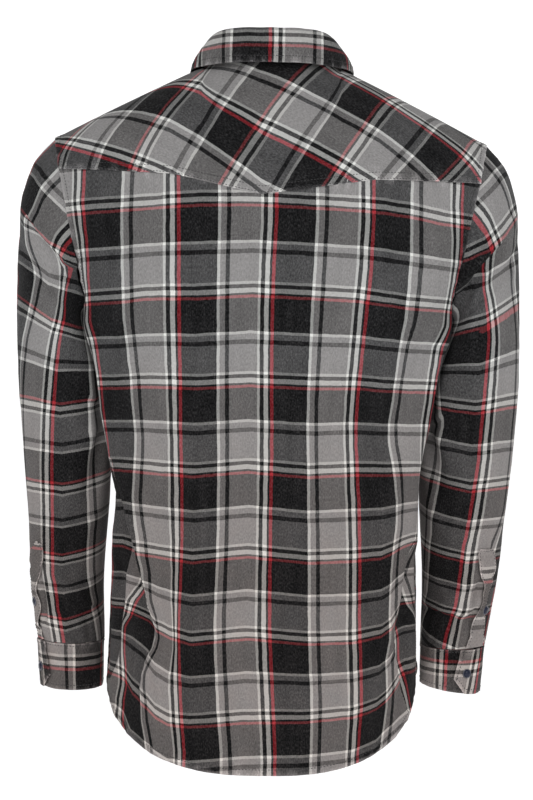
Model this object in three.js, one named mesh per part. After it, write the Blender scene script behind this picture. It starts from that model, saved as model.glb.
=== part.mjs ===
// A long-sleeved western snap shirt, filled out as it is worn, with nobody in it.
// Millimetres, +Z up. The front faces -Y and the wearer's left is +X. The origin lies between the
// shoulders at the base of the neck, where the wearer holds the shirt up.
// Each cut piece is a cloth wall of its own: it is laid out as a sheet of outer points, and the
// inner skin follows it one cloth thickness further in.
import * as THREE from "three";

const CLOTH = 1.8;
const TRIM = 1.4;
const SEAM = 0.3;
const SHOULDER = { x: 236, z: -80 };
const ARMPIT = { x: 197, y: -4, z: -268 };
const ARMHOLE = { back: 58, front: 52 };
const ARMHOLE_STEPS = 32;
const YOKE_STEPS = 5;
const NECK = { side: 75, back: 60, front: 76, rise: 3, slope: 0.79, backSteep: 58, frontSteep: 46 };
const BULGE = { off: 38, width: 25, fade: 18, dent: 0.3 };
const HEM = { side: -656, back: -762, front: -738, roundness: 2.7 };
const FRONT_BAND = { width: 36, left: 19, underEdge: 14, overEdge: 17, lift: 2.3 };
const BACK_POINT = { share: 0.035, drop: 16.5, left: 0.4, right: 0.5 };
const FRONT_POINT = { share: 0.5, drop: 26, spread: 0.45 };
const SNAP = { radius: 5.3, height: 2.4, front: 6 };
const CUFF = { height: 51, gap: 1, lap: 30, slant: 5, mitre: 15, taper: 2.5, snapDown: 0.56 };
const SLEEVE_BAND = { width: 24, length: 106, gap: 1.4, snapUp: 36, lift: 2 };
const STAND = { first: -174, last: 192, lap: 24, gap: 1.8, inset: 0.985, snapUp: 0.42 };

// The trunk's sections. back and front: how far the cloth lies behind and before the side seams'
// plane on the centre line. side: the side seam. behindArm: how far the back stands out beside the
// arm. square: the section's exponent, 2 for an ellipse.
const TRUNK = [
  { z: -110, back: 106, front: 104, side: 197, behindArm: 0, square: 2.3 },
  { z: -150, back: 114, front: 116, side: 197, behindArm: 0, square: 2.35 },
  { z: -195, back: 119, front: 124, side: 197, behindArm: 0, square: 2.4 },
  { z: -245, back: 119, front: 128, side: 197, behindArm: 4, square: 2.45 },
  { z: -268, back: 118, front: 128, side: 197, behindArm: 8, square: 2.45 },
  { z: -290, back: 117, front: 128, side: 184, behindArm: 20, square: 2.45 },
  { z: -326, back: 114, front: 126, side: 170, behindArm: 23, square: 2.45 },
  { z: -380, back: 109, front: 122, side: 163, behindArm: 22, square: 2.4 },
  { z: -427, back: 104, front: 118, side: 162, behindArm: 14, square: 2.35 },
  { z: -462, back: 102, front: 116, side: 164, behindArm: 9, square: 2.3 },
  { z: -517, back: 102, front: 115, side: 166, behindArm: 6, square: 2.3 },
  { z: -583, back: 105, front: 116, side: 168, behindArm: 3, square: 2.3 },
  { z: -656, back: 107, front: 115, side: 170, behindArm: 0, square: 2.3 },
  { z: -765, back: 106, front: 110, side: 168, behindArm: 0, square: 2.3 },
];

// Soft folds of the trunk. turn: degrees round the body from the left side seam towards the back.
const TRUNK_FOLDS = [
  { from: -430, fromTurn: 24, to: -735, toTurn: 40, width: 17, height: 5 },
  { from: -500, fromTurn: 14, to: -690, toTurn: 20, width: 12, height: -5 },
  { from: -430, fromTurn: 155, to: -735, toTurn: 141, width: 17, height: 5 },
  { from: -500, fromTurn: 166, to: -690, toTurn: 160, width: 12, height: -5 },
  { from: -520, fromTurn: 74, to: -765, toTurn: 71, width: 24, height: 3.5 },
  { from: -520, fromTurn: 112, to: -765, toTurn: 116, width: 26, height: 3 },
  { from: -330, fromTurn: -32, to: -690, toTurn: -46, width: 22, height: 5 },
  { from: -330, fromTurn: 212, to: -690, toTurn: 226, width: 22, height: 5 },
  { from: -230, fromTurn: -62, to: -470, toTurn: -74, width: 26, height: -3.5 },
  { from: -230, fromTurn: 242, to: -470, toTurn: 254, width: 26, height: -3.5 },
];

// The left sleeve's rings, each by its outermost and innermost point. midY and halfDepth: where the
// ring lies from front to back. backDrop: how much lower it is behind.
const SLEEVE = [
  { outX: 250, outZ: -93, inX: 199, inZ: -271, midY: -3, halfDepth: 57, backDrop: 0 },
  { outX: 261, outZ: -108, inX: 201, inZ: -275, midY: -5, halfDepth: 58, backDrop: 0 },
  { outX: 270, outZ: -134, inX: 201, inZ: -280, midY: -8, halfDepth: 59, backDrop: 0 },
  { outX: 275, outZ: -168, inX: 199, inZ: -287, midY: -11, halfDepth: 60, backDrop: 0 },
  { outX: 277, outZ: -208, inX: 194, inZ: -297, midY: -14, halfDepth: 60, backDrop: 0 },
  { outX: 278, outZ: -252, inX: 187, inZ: -310, midY: -18, halfDepth: 59, backDrop: 0 },
  { outX: 278, outZ: -300, inX: 178, inZ: -332, midY: -22, halfDepth: 58, backDrop: 0 },
  { outX: 277, outZ: -350, inX: 171, inZ: -363, midY: -27, halfDepth: 57, backDrop: 0 },
  { outX: 273, outZ: -400, inX: 169, inZ: -404, midY: -32, halfDepth: 55, backDrop: 0 },
  { outX: 269.5, outZ: -448, inX: 171, inZ: -450, midY: -37, halfDepth: 52, backDrop: 0 },
  { outX: 265.5, outZ: -495, inX: 174, inZ: -496, midY: -41, halfDepth: 49, backDrop: 0 },
  { outX: 262, outZ: -537, inX: 177, inZ: -538, midY: -43, halfDepth: 47, backDrop: 1 },
  { outX: 258, outZ: -572, inX: 178, inZ: -572, midY: -43, halfDepth: 45, backDrop: 2 },
  { outX: 253, outZ: -603, inX: 177, inZ: -603, midY: -42, halfDepth: 42, backDrop: 3 },
  { outX: 248.5, outZ: -630, inX: 176.5, inZ: -630, midY: -41, halfDepth: 40, backDrop: 4 },
];

// Folds of the sleeves. around: degrees from the outer line towards the back.
const SLEEVE_FOLDS = [
  { from: -150, fromAround: 20, to: -236, toAround: 128, width: 17, height: 7 },
  { from: -186, fromAround: 12, to: -268, toAround: 120, width: 13, height: -6 },
  { from: -330, fromAround: 150, to: -480, toAround: 122, width: 15, height: -5 },
  { from: -360, fromAround: 175, to: -430, toAround: 100, width: 13, height: 4 },
  { from: -400, fromAround: 250, to: -455, toAround: 190, width: 13, height: -4 },
  { from: -548, fromAround: 60, to: -600, toAround: 140, width: 12, height: 3.5 },
];

// Where each arm's slit and cuff end lie round the sleeve, in degrees from the outer line towards
// the back. lean: how far the sleeve hangs out. elbow: how far its outer line does at the elbow.
const ARMS = {
  left: { side: 1, slit: 26, cuffEnd: 47, lean: 0, elbow: -2.5 },
  right: { side: -1, slit: 45, cuffEnd: 77, lean: -1, elbow: 3.5 },
};

// The collar round the neck, from the centre back (0) to the centre front (180).
const COLLAR = [
  { turn: 0, foldX: 0, foldY: 58, foldZ: 39.5, edgeX: 0, edgeY: 76, edgeZ: 0 },
  { turn: 25, foldX: 31, foldY: 53, foldZ: 39.2, edgeX: 39, edgeY: 68, edgeZ: 0 },
  { turn: 50, foldX: 56, foldY: 38, foldZ: 37, edgeX: 69, edgeY: 46, edgeZ: -1 },
  { turn: 75, foldX: 70, foldY: 17, foldZ: 29, edgeX: 87, edgeY: 15, edgeZ: -2 },
  { turn: 100, foldX: 73, foldY: -9, foldZ: 17, edgeX: 90, edgeY: -20, edgeZ: -5 },
  { turn: 125, foldX: 65, foldY: -37, foldZ: 1, edgeX: 86, edgeY: -62, edgeZ: -22 },
  { turn: 150, foldX: 42, foldY: -61, foldZ: -16, edgeX: 72, edgeY: -98, edgeZ: -55 },
  { turn: 172, foldX: 12, foldY: -74, foldZ: -26, edgeX: 48, edgeY: -117, edgeZ: -83 },
];

const radians = THREE.MathUtils.degToRad;
const clamp = THREE.MathUtils.clamp;
const lerp = THREE.MathUtils.lerp;
const point = (x, y, z) => new THREE.Vector3(x, y, z);
const steps = (count, from = 0, to = 1) =>
  Array.from({ length: count + 1 }, (_, i) => lerp(from, to, i / count));

// A smooth curve through one column of a table, read against another column.
function column(table, along, value) {
  const rows = [...table].sort((a, b) => a[along] - b[along]);
  const at = rows.map((row) => row[along]);
  const to = rows.map((row) => row[value]);
  const last = rows.length - 1;
  const slope = at.map((_, i) => {
    const [a, b] = [Math.max(i - 1, 0), Math.min(i + 1, last)];
    return (to[b] - to[a]) / (at[b] - at[a]);
  });
  return (where) => {
    const x = clamp(where, at[0], at[last]);
    const i = clamp(at.findIndex((a) => a > x) - 1, 0, last - 1) || (x >= at[last - 1] ? last - 1 : 0);
    const span = at[i + 1] - at[i];
    const t = (x - at[i]) / span;
    const rest = 1 - t;
    return (
      to[i] * (1 + 2 * t) * rest * rest +
      to[i + 1] * t * t * (3 - 2 * t) +
      span * (slope[i] * t * rest * rest - slope[i + 1] * t * t * rest)
    );
  };
}

const trunk = Object.fromEntries(
  ["back", "front", "side", "behindArm", "square"].map((name) => [name, column(TRUNK, "z", name)]),
);
const ring = Object.fromEntries(
  ["outX", "outZ", "inX", "inZ", "midY", "halfDepth", "backDrop"].map((name) => [
    name,
    column(SLEEVE.map((row, i) => ({ ...row, order: i + 1 })), "order", name),
  ]),
);
const collar = Object.fromEntries(
  ["foldX", "foldY", "foldZ", "edgeX", "edgeY", "edgeZ"].map((name) => [
    name,
    column(COLLAR, "turn", name),
  ]),
);

// Sheets: outer points in faces of four, with a normal for each point.

// rows of points as a sheet; wrapped joins the last column to the first.
function sheetOf(rows, wrapped = false) {
  const across = rows[0].length;
  const points = rows.flat();
  const faces = [];
  for (let j = 0; j + 1 < rows.length; j++) {
    for (let i = 0; i < across - (wrapped ? 0 : 1); i++) {
      const next = (i + 1) % across;
      faces.push([
        j * across + i,
        j * across + next,
        (j + 1) * across + next,
        (j + 1) * across + i,
      ]);
    }
  }
  return { points, faces };
}

const placeKey = (p) => [p.x, p.y, p.z].map((v) => Math.round(v * 50)).join();

// Several sheets as one, with the points that they share made one.
function joined(...sheets) {
  const found = new Map();
  const points = [];
  const faces = sheets.flatMap((sheet) =>
    sheet.faces.map((face) =>
      face.map((corner) => {
        const p = sheet.points[corner];
        const key = placeKey(p);
        if (!found.has(key)) found.set(key, points.push(p) - 1);
        return found.get(key);
      }),
    ),
  );
  return { points, faces };
}

// Turns every face to look away from a line up through (x, y).
function facingOut(sheet, x = 0, y = 0) {
  let sum = 0;
  for (const [a, b, c, d] of sheet.faces) {
    const across = sheet.points[c].clone().sub(sheet.points[a]);
    const other = sheet.points[d].clone().sub(sheet.points[b]);
    const away = point(sheet.points[a].x - x, sheet.points[a].y - y, 0);
    sum += across.cross(other).dot(away);
  }
  if (sum < 0) sheet.faces.forEach((face) => face.reverse());
  return sheet;
}

// A normal at each place, from the faces of all the sheets that meet there.
function normalsOf(...sheets) {
  const sums = new Map();
  for (const { points, faces } of sheets) {
    for (const face of faces) {
      const [a, b, c, d] = face.map((i) => points[i]);
      const normal = c.clone().sub(a).cross(d.clone().sub(b));
      for (const i of face) {
        const key = placeKey(points[i]);
        if (!sums.has(key)) sums.set(key, point(0, 0, 0));
        sums.get(key).add(normal);
      }
    }
  }
  sums.forEach((normal) => normal.normalize());
  return (p) => sums.get(placeKey(p));
}

// The edges that only one face has, each in that face's direction.
function rimOf(faces) {
  const edges = new Map();
  for (const face of faces) {
    face.forEach((a, i) => {
      const b = face[(i + 1) % face.length];
      if (!edges.delete(`${b},${a}`)) edges.set(`${a},${b}`, [a, b]);
    });
  }
  return [...edges.values()];
}

// Draws a sheet's rim back by half a seam, so that neighbours stay apart.
function drawnIn(sheet, gap = SEAM / 2) {
  const rim = new Set(rimOf(sheet.faces).flat());
  const pull = new Map([...rim].map((i) => [i, point(0, 0, 0)]));
  for (const face of sheet.faces) {
    for (const i of face.filter((corner) => rim.has(corner))) {
      for (const j of face) {
        if (!rim.has(j)) pull.get(i).add(sheet.points[j].clone().sub(sheet.points[i]).normalize());
      }
    }
  }
  // A corner has no inner neighbour of its own in its face's ring, so it follows the face.
  for (const face of sheet.faces) {
    for (const i of face.filter((corner) => rim.has(corner) && pull.get(corner).lengthSq() < 1e-6)) {
      const middle = face.reduce((sum, j) => sum.add(sheet.points[j]), point(0, 0, 0)).divideScalar(4);
      pull.get(i).add(middle.sub(sheet.points[i]).normalize());
    }
  }
  const points = sheet.points.map((p, i) =>
    rim.has(i) ? p.clone().addScaledVector(pull.get(i).normalize(), gap) : p,
  );
  return { points, faces: sheet.faces };
}

// The closed wall of a sheet: outer skin, inner skin and edges.
function wallOf(outer, inner, faces) {
  const count = outer.length;
  const index = [];
  for (const [a, b, c, d] of faces) {
    index.push(a, b, c, a, c, d);
    index.push(a + count, c + count, b + count, a + count, d + count, c + count);
  }
  for (const [a, b] of rimOf(faces)) {
    index.push(a, a + count, b + count, a, b + count, b);
  }
  const geometry = new THREE.BufferGeometry();
  const flat = [...outer, ...inner].flatMap((p) => [p.x, p.y, p.z]);
  geometry.setAttribute("position", new THREE.Float32BufferAttribute(flat, 3));
  geometry.setIndex(index);
  geometry.computeVertexNormals();
  return geometry;
}

// A cut piece as a wall. lift moves the whole piece out; normal may be given by its neighbours.
function clothWall(sheet, { lift = 0, normalAt = null, thickness = CLOTH } = {}) {
  const normal = normalAt ?? normalsOf(sheet);
  const drawn = drawnIn(sheet);
  const along = sheet.points.map((p) => normal(p));
  const outer = drawn.points.map((p, i) => p.clone().addScaledVector(along[i], lift));
  const inner = outer.map((p, i) => p.clone().addScaledVector(along[i], -thickness));
  return wallOf(outer, inner, sheet.faces);
}

// Folds: how far a soft ridge or trough moves the cloth at one place.

// Along and off a fold's line in a plane of two lengths, as a smooth bump.
function bump(fold, down, round, radius) {
  const along = clamp((down - fold.from) / (fold.to - fold.from), 0, 1);
  const off = (round - lerp(fold.fromRound, fold.toRound, along)) * radius;
  const past = down - lerp(fold.from, fold.to, along);
  const fade = Math.sin(Math.PI * clamp(along * 0.86 + 0.07, 0, 1));
  return fold.height * fade * Math.exp(-(off * off + past * past) / (fold.width * fold.width));
}

const trunkFolds = TRUNK_FOLDS.map((fold) => ({
  ...fold,
  fromRound: radians(fold.fromTurn),
  toRound: radians(fold.toTurn),
}));
const sleeveFolds = SLEEVE_FOLDS.map((fold) => ({
  ...fold,
  fromRound: radians(fold.fromAround),
  toRound: radians(fold.toAround),
}));

// The trunk: sections between the centre line and the armholes or side seams.

// The armhole's loop on the left, from the shoulder (0) round the back to the armpit (180).
function armhole(degrees) {
  const turn = radians(degrees);
  const down = (1 - Math.cos(turn)) / 2;
  const depth = Math.sin(turn) > 0 ? ARMHOLE.back : ARMHOLE.front;
  return point(
    lerp(SHOULDER.x, ARMPIT.x, down),
    ARMPIT.y * down + depth * Math.sin(turn),
    lerp(SHOULDER.z, ARMPIT.z, down),
  );
}

const yokeTurn = (360 / ARMHOLE_STEPS) * YOKE_STEPS;

// Where a half section ends: on the armhole above the armpit, and on the side seam below it.
function sectionEnd(face, z) {
  if (z <= ARMPIT.z) return { x: trunk.side(z), y: ARMPIT.y };
  const down = clamp((SHOULDER.z - z) / (SHOULDER.z - ARMPIT.z), 0, 1);
  const turn = THREE.MathUtils.radToDeg(Math.acos(1 - 2 * down));
  return armhole(face > 0 ? turn : 360 - turn);
}

// The left half of the trunk's section, from the centre line outwards. face is 1 behind, -1 before.
function halfSection(face, z) {
  const end = sectionEnd(face, z);
  const depth = face > 0 ? trunk.back(z) : -trunk.front(z);
  const power = 2 / trunk.square(z);
  const share = (end.y - ARMPIT.y) / (depth - ARMPIT.y);
  const last = Math.acos(clamp(share, 0, 1) ** (1 / power));
  return steps(28).map((t) => {
    const turn = last * t;
    const y = ARMPIT.y + (depth - ARMPIT.y) * Math.max(Math.cos(turn), 0) ** power;
    const off = Math.abs(y - ARMPIT.y) - BULGE.off;
    const beside = Math.exp(-((off / BULGE.width) ** 2)) * Math.min(Math.abs(y - end.y) / BULGE.fade, 1);
    const out = trunk.behindArm(z) * (face > 0 ? 1 : -BULGE.dent) * beside;
    return point(end.x * (Math.sin(turn) / Math.sin(last)) ** power + out, y, z);
  });
}

const lengthOf = (line) =>
  line.slice(1).reduce((sum, p, i) => sum + p.distanceTo(line[i]), 0);

// The point that lies a given length along a line.
function alongLine(line, length) {
  let left = length;
  for (let i = 1; i < line.length; i++) {
    const span = line[i].distanceTo(line[i - 1]);
    if (left <= span || i === line.length - 1) {
      return line[i - 1].clone().lerp(line[i], left / span);
    }
    left -= span;
  }
  return line.at(-1).clone();
}

// A point of the trunk: share runs from a start length off the centre line (0) to the edge (1).
function onTrunk(face, share, z, start = 0) {
  const line = halfSection(face, z);
  const whole = lengthOf(line);
  const length = start + (whole - start) * share;
  const p = alongLine(line, Math.abs(length));
  if (length < 0) p.x = -p.x;
  return p;
}

// The seams between yoke and panels, from the centre line (0) to the armhole (1).
const seamSide = armhole(yokeTurn).z;
function backSeam(share, side) {
  const off = share * side - BACK_POINT.share;
  const pointed = clamp(1 - Math.abs(off) / (off < 0 ? BACK_POINT.right : BACK_POINT.left), 0, 1);
  return seamSide - 3 * (1 - share) - BACK_POINT.drop * pointed;
}
function frontSeam(share) {
  const pointed = clamp(1 - Math.abs(share - FRONT_POINT.share) / FRONT_POINT.spread, 0, 1);
  return seamSide - 4 * (1 - share) - FRONT_POINT.drop * pointed;
}
function hem(face, share) {
  const low = face > 0 ? HEM.back : HEM.front;
  return lerp(low, HEM.side, share ** HEM.roundness);
}

// The neck seam: 0 at the centre back, 90 at the shoulder, 180 at the centre front.
function neck(degrees) {
  const turn = radians(degrees);
  const ahead = Math.cos(turn) < 0;
  const y = (ahead ? NECK.front : NECK.back) * Math.cos(turn);
  return point(
    NECK.side * Math.sin(turn),
    y,
    ahead ? NECK.slope * y : NECK.rise * Math.cos(turn) ** 2,
  );
}

// The yoke's upper edge over a place across: the neck seam, then the shoulder's ridge.
function ridge(across, face) {
  if (Math.abs(across) <= NECK.side) {
    const turn = THREE.MathUtils.radToDeg(Math.asin(across / NECK.side));
    return neck(face > 0 ? turn : 180 - turn);
  }
  const out = (across - NECK.side) / (SHOULDER.x - NECK.side);
  return point(across, 0, SHOULDER.z * out ** 1.04);
}

// The yoke's cloth over one place across, from the panel's seam (0) up to the ridge (1).
function yokeColumn(face, side, across, share, start) {
  const seamZ = face > 0 ? backSeam(share, side) : frontSeam(share);
  const foot = onTrunk(face, share, seamZ, start);
  const below = onTrunk(face, share, seamZ - 6, start);
  const top = ridge(across, face);
  const chord = foot.distanceTo(top);
  const rise = foot.clone().sub(below).normalize();
  const steepest = face > 0 ? NECK.backSteep : NECK.frontSteep;
  const steep = radians(steepest) * Math.sqrt(1 - Math.min(Math.abs(across) / NECK.side, 1) ** 2);
  const over = point(0, -face * Math.cos(steep), Math.sin(steep));
  return new THREE.CubicBezierCurve3(
    foot,
    foot.clone().addScaledVector(rise, chord * 0.42),
    top.clone().addScaledVector(over, -chord * 0.42),
    top,
  );
}

// Places across the yoke, close together where the neck curves and even along the shoulder.
const neckTurns = [0, 18, 36, 54, 72, 90];
const shoulderStops = steps(7, NECK.side, SHOULDER.x).slice(1);
const backPlaces = [
  ...neckTurns.map((turn) => ({
    across: NECK.side * Math.sin(radians(turn)),
    foot: (NECK.side * turn) / 90,
  })),
  ...shoulderStops.map((x) => ({ across: x, foot: x })),
];

// The share of the seam at which a column's foot lies.
function shareOf(face, foot, start) {
  const wanted = (foot * armhole(yokeTurn).x) / SHOULDER.x;
  let [low, high] = [0, 1];
  for (let i = 0; i < 40; i++) {
    const middle = (low + high) / 2;
    if (onTrunk(face, middle, seamSide, start).x < wanted) low = middle;
    else high = middle;
  }
  return (low + high) / 2;
}

// Half of a face of the trunk: the yoke's part above its seam and the panel's part below it.
// side is 1 on the left and -1 on the right. start is where the half begins beside the centre line;
// below 0 it begins past it.
function halfOf(face, side, start) {
  const edge = { across: start, foot: start };
  const places = start === 0 ? backPlaces : [edge, ...backPlaces.filter((x) => x.foot > start + 8)];
  const shares = places.map((place, i) => (i === 0 ? 0 : shareOf(face, place.foot, start)));
  shares[shares.length - 1] = 1;
  const seamZ = (share) => (face > 0 ? backSeam(share, side) : frontSeam(share));
  const turnStep = 360 / ARMHOLE_STEPS;
  const edgeAt = (turn) => armhole(face > 0 ? turn : 360 - turn);

  const yoke = steps(YOKE_STEPS).map((t) =>
    places.map(({ across }, i) => {
      const p = yokeColumn(face, side, across, shares[i], start).getPoint(t);
      const seam = edgeAt(yokeTurn * (1 - t));
      const own = yokeColumn(face, side, SHOULDER.x, 1, start).getPoint(t);
      const near = clamp((across - 160) / (SHOULDER.x - 160), 0, 1) ** 2;
      return p.add(seam.sub(own).multiplyScalar(near));
    }),
  );

  const panel = [];
  for (let turn = yokeTurn; turn <= 180 + 1e-6; turn += turnStep) {
    const down = (edgeAt(turn).z - seamSide) / (ARMPIT.z - seamSide);
    panel.push(shares.map((share) => onTrunk(face, share, lerp(seamZ(share), ARMPIT.z, down), start)));
  }
  panel[0] = yoke[0].map((p) => p.clone());
  for (const fall of steps(13).slice(1)) {
    panel.push(shares.map((share) => onTrunk(face, share, lerp(ARMPIT.z, hem(face, share), fall), start)));
  }
  return { yoke: yoke.reverse(), panel };
}

const mirrored = (rows) => rows.map((row) => row.map((p) => point(-p.x, p.y, p.z)));
// Two halves as one, from the right edge to the left one.
const whole = (left, right) =>
  left.map((row, j) => [...mirrored([right[j].slice(1)])[0].reverse(), ...row]);

// Moves rows of trunk points out along the trunk's folds.
function folded(rows) {
  return rows.map((row) =>
    row.map((p) => {
      const round = Math.atan2(p.y - ARMPIT.y, p.x);
      const radius = Math.hypot(p.x, p.y);
      const turned = (fold) => {
        const middle = (fold.fromRound + fold.toRound) / 2;
        return round + Math.round((middle - round) / (2 * Math.PI)) * 2 * Math.PI;
      };
      const out = trunkFolds.reduce((sum, fold) => sum + bump(fold, p.z, turned(fold), radius), 0);
      const away = point(p.x, p.y, 0).normalize();
      return p.clone().addScaledVector(away, out);
    }),
  );
}

const backLeft = halfOf(1, 1, 0);
const backRight = halfOf(1, -1, 0);
const frontLeft = halfOf(-1, 1, FRONT_BAND.overEdge);
const frontRight = halfOf(-1, -1, -FRONT_BAND.underEdge);

const yokeSheet = facingOut(
  joined(
    sheetOf(whole(backLeft.yoke, backRight.yoke)),
    sheetOf(frontLeft.yoke.map((row) => [...row].reverse())),
    sheetOf(mirrored(frontRight.yoke)),
  ),
);
const backSheet = facingOut(sheetOf(folded(whole(backLeft.panel, backRight.panel))));
const leftFrontSheet = facingOut(sheetOf(folded(frontLeft.panel.map((row) => [...row].reverse()))));
const rightFrontSheet = facingOut(sheetOf(folded(mirrored(frontRight.panel))));
const trunkNormal = normalsOf(yokeSheet, backSheet, leftFrontSheet, rightFrontSheet);

// The front band lies over both front edges, from the neck seam to the hem.

function bandRows() {
  const line = (across) => {
    const share = 0;
    const above = yokeColumn(-1, 1, Math.abs(across), share, Math.abs(across)).getPoints(5).reverse();
    const fromZ = above.at(-1).z;
    const lowest = hem(-1, 0);
    const below = steps(20, fromZ, lowest)
      .slice(1)
      .map((z) => onTrunk(-1, 0, z, Math.abs(across)));
    return [...above, ...below].map((p) => point(Math.sign(across) * Math.abs(p.x), p.y, p.z));
  };
  const across = steps(3, FRONT_BAND.left, FRONT_BAND.left - FRONT_BAND.width);
  const lines = across.map(line);
  return folded(lines[0].map((_, j) => lines.map((points) => points[j])));
}
const bandSheet = facingOut(sheetOf(bandRows()));

// The collar: a stand that rises from the neck seam, and a fall that rolls over it.

const COLLAR_TURNS = steps(28, -172, 172);
const mirrorTo = (turn, p) => (turn < 0 ? point(-p.x, p.y, p.z) : p);

// A place on the stand, from the neck seam (0) to its top (1). Its left end laps over its right one.
function standPoint(turn, up) {
  const past = turn > 180;
  const at = past ? 360 - turn : Math.abs(turn);
  const foot = neck(at).multiply(point(STAND.inset, STAND.inset, 1));
  foot.z += STAND.gap;
  const top = point(collar.foldX(at) * 0.965, collar.foldY(at) * 0.965, collar.foldZ(at) - 6.5);
  const p = foot.lerp(top, up);
  const lapped = clamp((turn - (360 + STAND.first - STAND.lap)) / STAND.lap, 0, 1);
  p.y -= lapped * (CLOTH + 0.6);
  return mirrorTo(past ? -1 : turn, p);
}
const standRows = () =>
  [0, 0.5, 1].map((up) => steps(32, STAND.first, STAND.last).map((turn) => standPoint(turn, up)));

// The fall's profile from the stand's top, over the roll, to its lower edge.
const FALL_ROLL = [
  { inward: 1, lift: -5.4 },
  { inward: 0.75, lift: -1.6 },
  { inward: 0, lift: 0 },
  { inward: -0.75, lift: -1.8 },
];
function fallRows() {
  const rollWidth = 3.2;
  const point3 = (at, name) =>
    point(collar[`${name}X`](at), collar[`${name}Y`](at), collar[`${name}Z`](at));
  const profile = (at) => {
    const fold = point3(at, "fold");
    const edge = point3(at, "edge");
    const out = point(fold.x, fold.y, 0).normalize();
    const roll = FALL_ROLL.map(({ inward, lift }) =>
      fold.clone().addScaledVector(out, -inward * rollWidth).add(point(0, 0, lift)),
    );
    const shoulder = roll.at(-1);
    const hang = steps(4)
      .slice(1)
      .map((t) => shoulder.clone().lerp(edge, t).addScaledVector(out, 3 * Math.sin(Math.PI * t)));
    return [...roll, ...hang];
  };
  const lines = COLLAR_TURNS.map((turn) => profile(Math.abs(turn)).map((p) => mirrorTo(turn, p)));
  return lines[0].map((_, j) => lines.map((line) => line[j]));
}

// The sleeves: rings from the armhole to the cuff.

function sleevePoint(order, degrees, arm) {
  const turn = radians(degrees);
  if (order === 0) {
    const p = armhole(degrees);
    return point(p.x + 0.6, p.y, p.z);
  }
  const bent = Math.sin(Math.PI * clamp((order - 4) / (SLEEVE.length - 4), 0, 1)) ** 2;
  const out = point(ring.outX(order) + arm.elbow * bent, ring.midY(order), ring.outZ(order));
  const inn = point(ring.inX(order), ring.midY(order), ring.inZ(order));
  const lean = arm.lean * clamp(order / 3, 0, 1);
  const middle = out.clone().add(inn).multiplyScalar(0.5);
  const half = out.clone().sub(inn).multiplyScalar(0.5);
  const p = middle.clone().addScaledVector(half, Math.cos(turn));
  p.y += ring.halfDepth(order) * Math.sin(turn);
  p.z -= ring.backDrop(order) * Math.sin(turn);
  p.x += lean;
  const away = p.clone().sub(point(middle.x + lean, middle.y, p.z)).setZ(0).normalize();
  const push = sleeveFolds.reduce((sum, fold) => sum + bump(fold, p.z, turn, ring.halfDepth(order)), 0);
  const sewn = clamp((order - 0.5) / 2, 0, 1) * clamp((SLEEVE.length - order) / 1.5, 0, 1);
  return p.addScaledVector(away, push * sewn);
}

const sided = (arm, p) => (arm.side < 0 ? point(-p.x, p.y, p.z) : p);
const sleeveMiddle = (ring.outX(SLEEVE.length) + ring.inX(SLEEVE.length)) / 2;
const sleeveMidY = ring.midY(SLEEVE.length);

function sleeveSheet(arm) {
  const turns = steps(ARMHOLE_STEPS, 0, 360).slice(0, -1);
  const rows = steps(SLEEVE.length, 0, SLEEVE.length).map((order) =>
    turns.map((turn) => sided(arm, sleevePoint(order, turn, arm))),
  );
  return facingOut(sheetOf(rows, true), arm.side * 232, -20);
}

// The sleeve's wall, whose first ring is thick towards the armhole's middle.
function sleeveWall(arm) {
  const sheet = sleeveSheet(arm);
  const normal = normalsOf(sheet);
  const middle = armhole(0).add(armhole(180)).multiplyScalar(0.5);
  const inner = sheet.points.map((p, i) => {
    if (i >= ARMHOLE_STEPS) return p.clone().addScaledVector(normal(p), -CLOTH);
    const inward = point(arm.side * middle.x, 0, middle.z).sub(p).setX(0).normalize();
    return p.clone().addScaledVector(inward, CLOTH);
  });
  return wallOf(sheet.points, inner, sheet.faces);
}

// A cuff goes once round the wrist, and its outer end laps over its start with a cut-off corner.
function cuffSheet(arm) {
  const order = SLEEVE.length;
  const perMillimetre = THREE.MathUtils.radToDeg(1 / ring.halfDepth(order));
  const first = arm.cuffEnd - CUFF.lap * perMillimetre;
  const last = arm.cuffEnd + 360;
  const turns = [...steps(31, first, last - 36).slice(0, -1), ...steps(6, last - 36, last)];
  const rows = steps(3).map((down) =>
    turns.map((turn) => {
      const lapped = clamp((turn - (first + 360 - 20)) / 20, 0, 1);
      const beforeEnd = (last - turn) / perMillimetre;
      const height = CUFF.height - Math.max(CUFF.mitre - beforeEnd, 0);
      const slanted = turn + CUFF.slant * (2 * down - 1) * lapped;
      const fall = (height / CUFF.height) * down;
      const grown = lapped * (CLOTH + 0.9) - CUFF.taper * fall;
      return cuffPoint(arm, slanted, fall, grown);
    }),
  );
  return facingOut(sheetOf(rows), arm.side * sleeveMiddle, sleeveMidY);
}

// A place on the cuff's ring: down runs from its seam (0) to its lower edge (1).
function cuffPoint(arm, degrees, down, grown) {
  const order = SLEEVE.length;
  const turn = radians(degrees);
  const halfWidth = (ring.outX(order) - ring.inX(order)) / 2 + grown;
  const halfDepth = ring.halfDepth(order) + grown;
  const top = ring.outZ(order) - CUFF.gap;
  const p = point(
    sleeveMiddle + arm.lean - CUFF.taper * 0.8 * down + halfWidth * Math.cos(turn),
    sleeveMidY + halfDepth * Math.sin(turn),
    top - CUFF.height * down - ring.backDrop(order) * Math.sin(turn),
  );
  return sided(arm, p);
}

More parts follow.
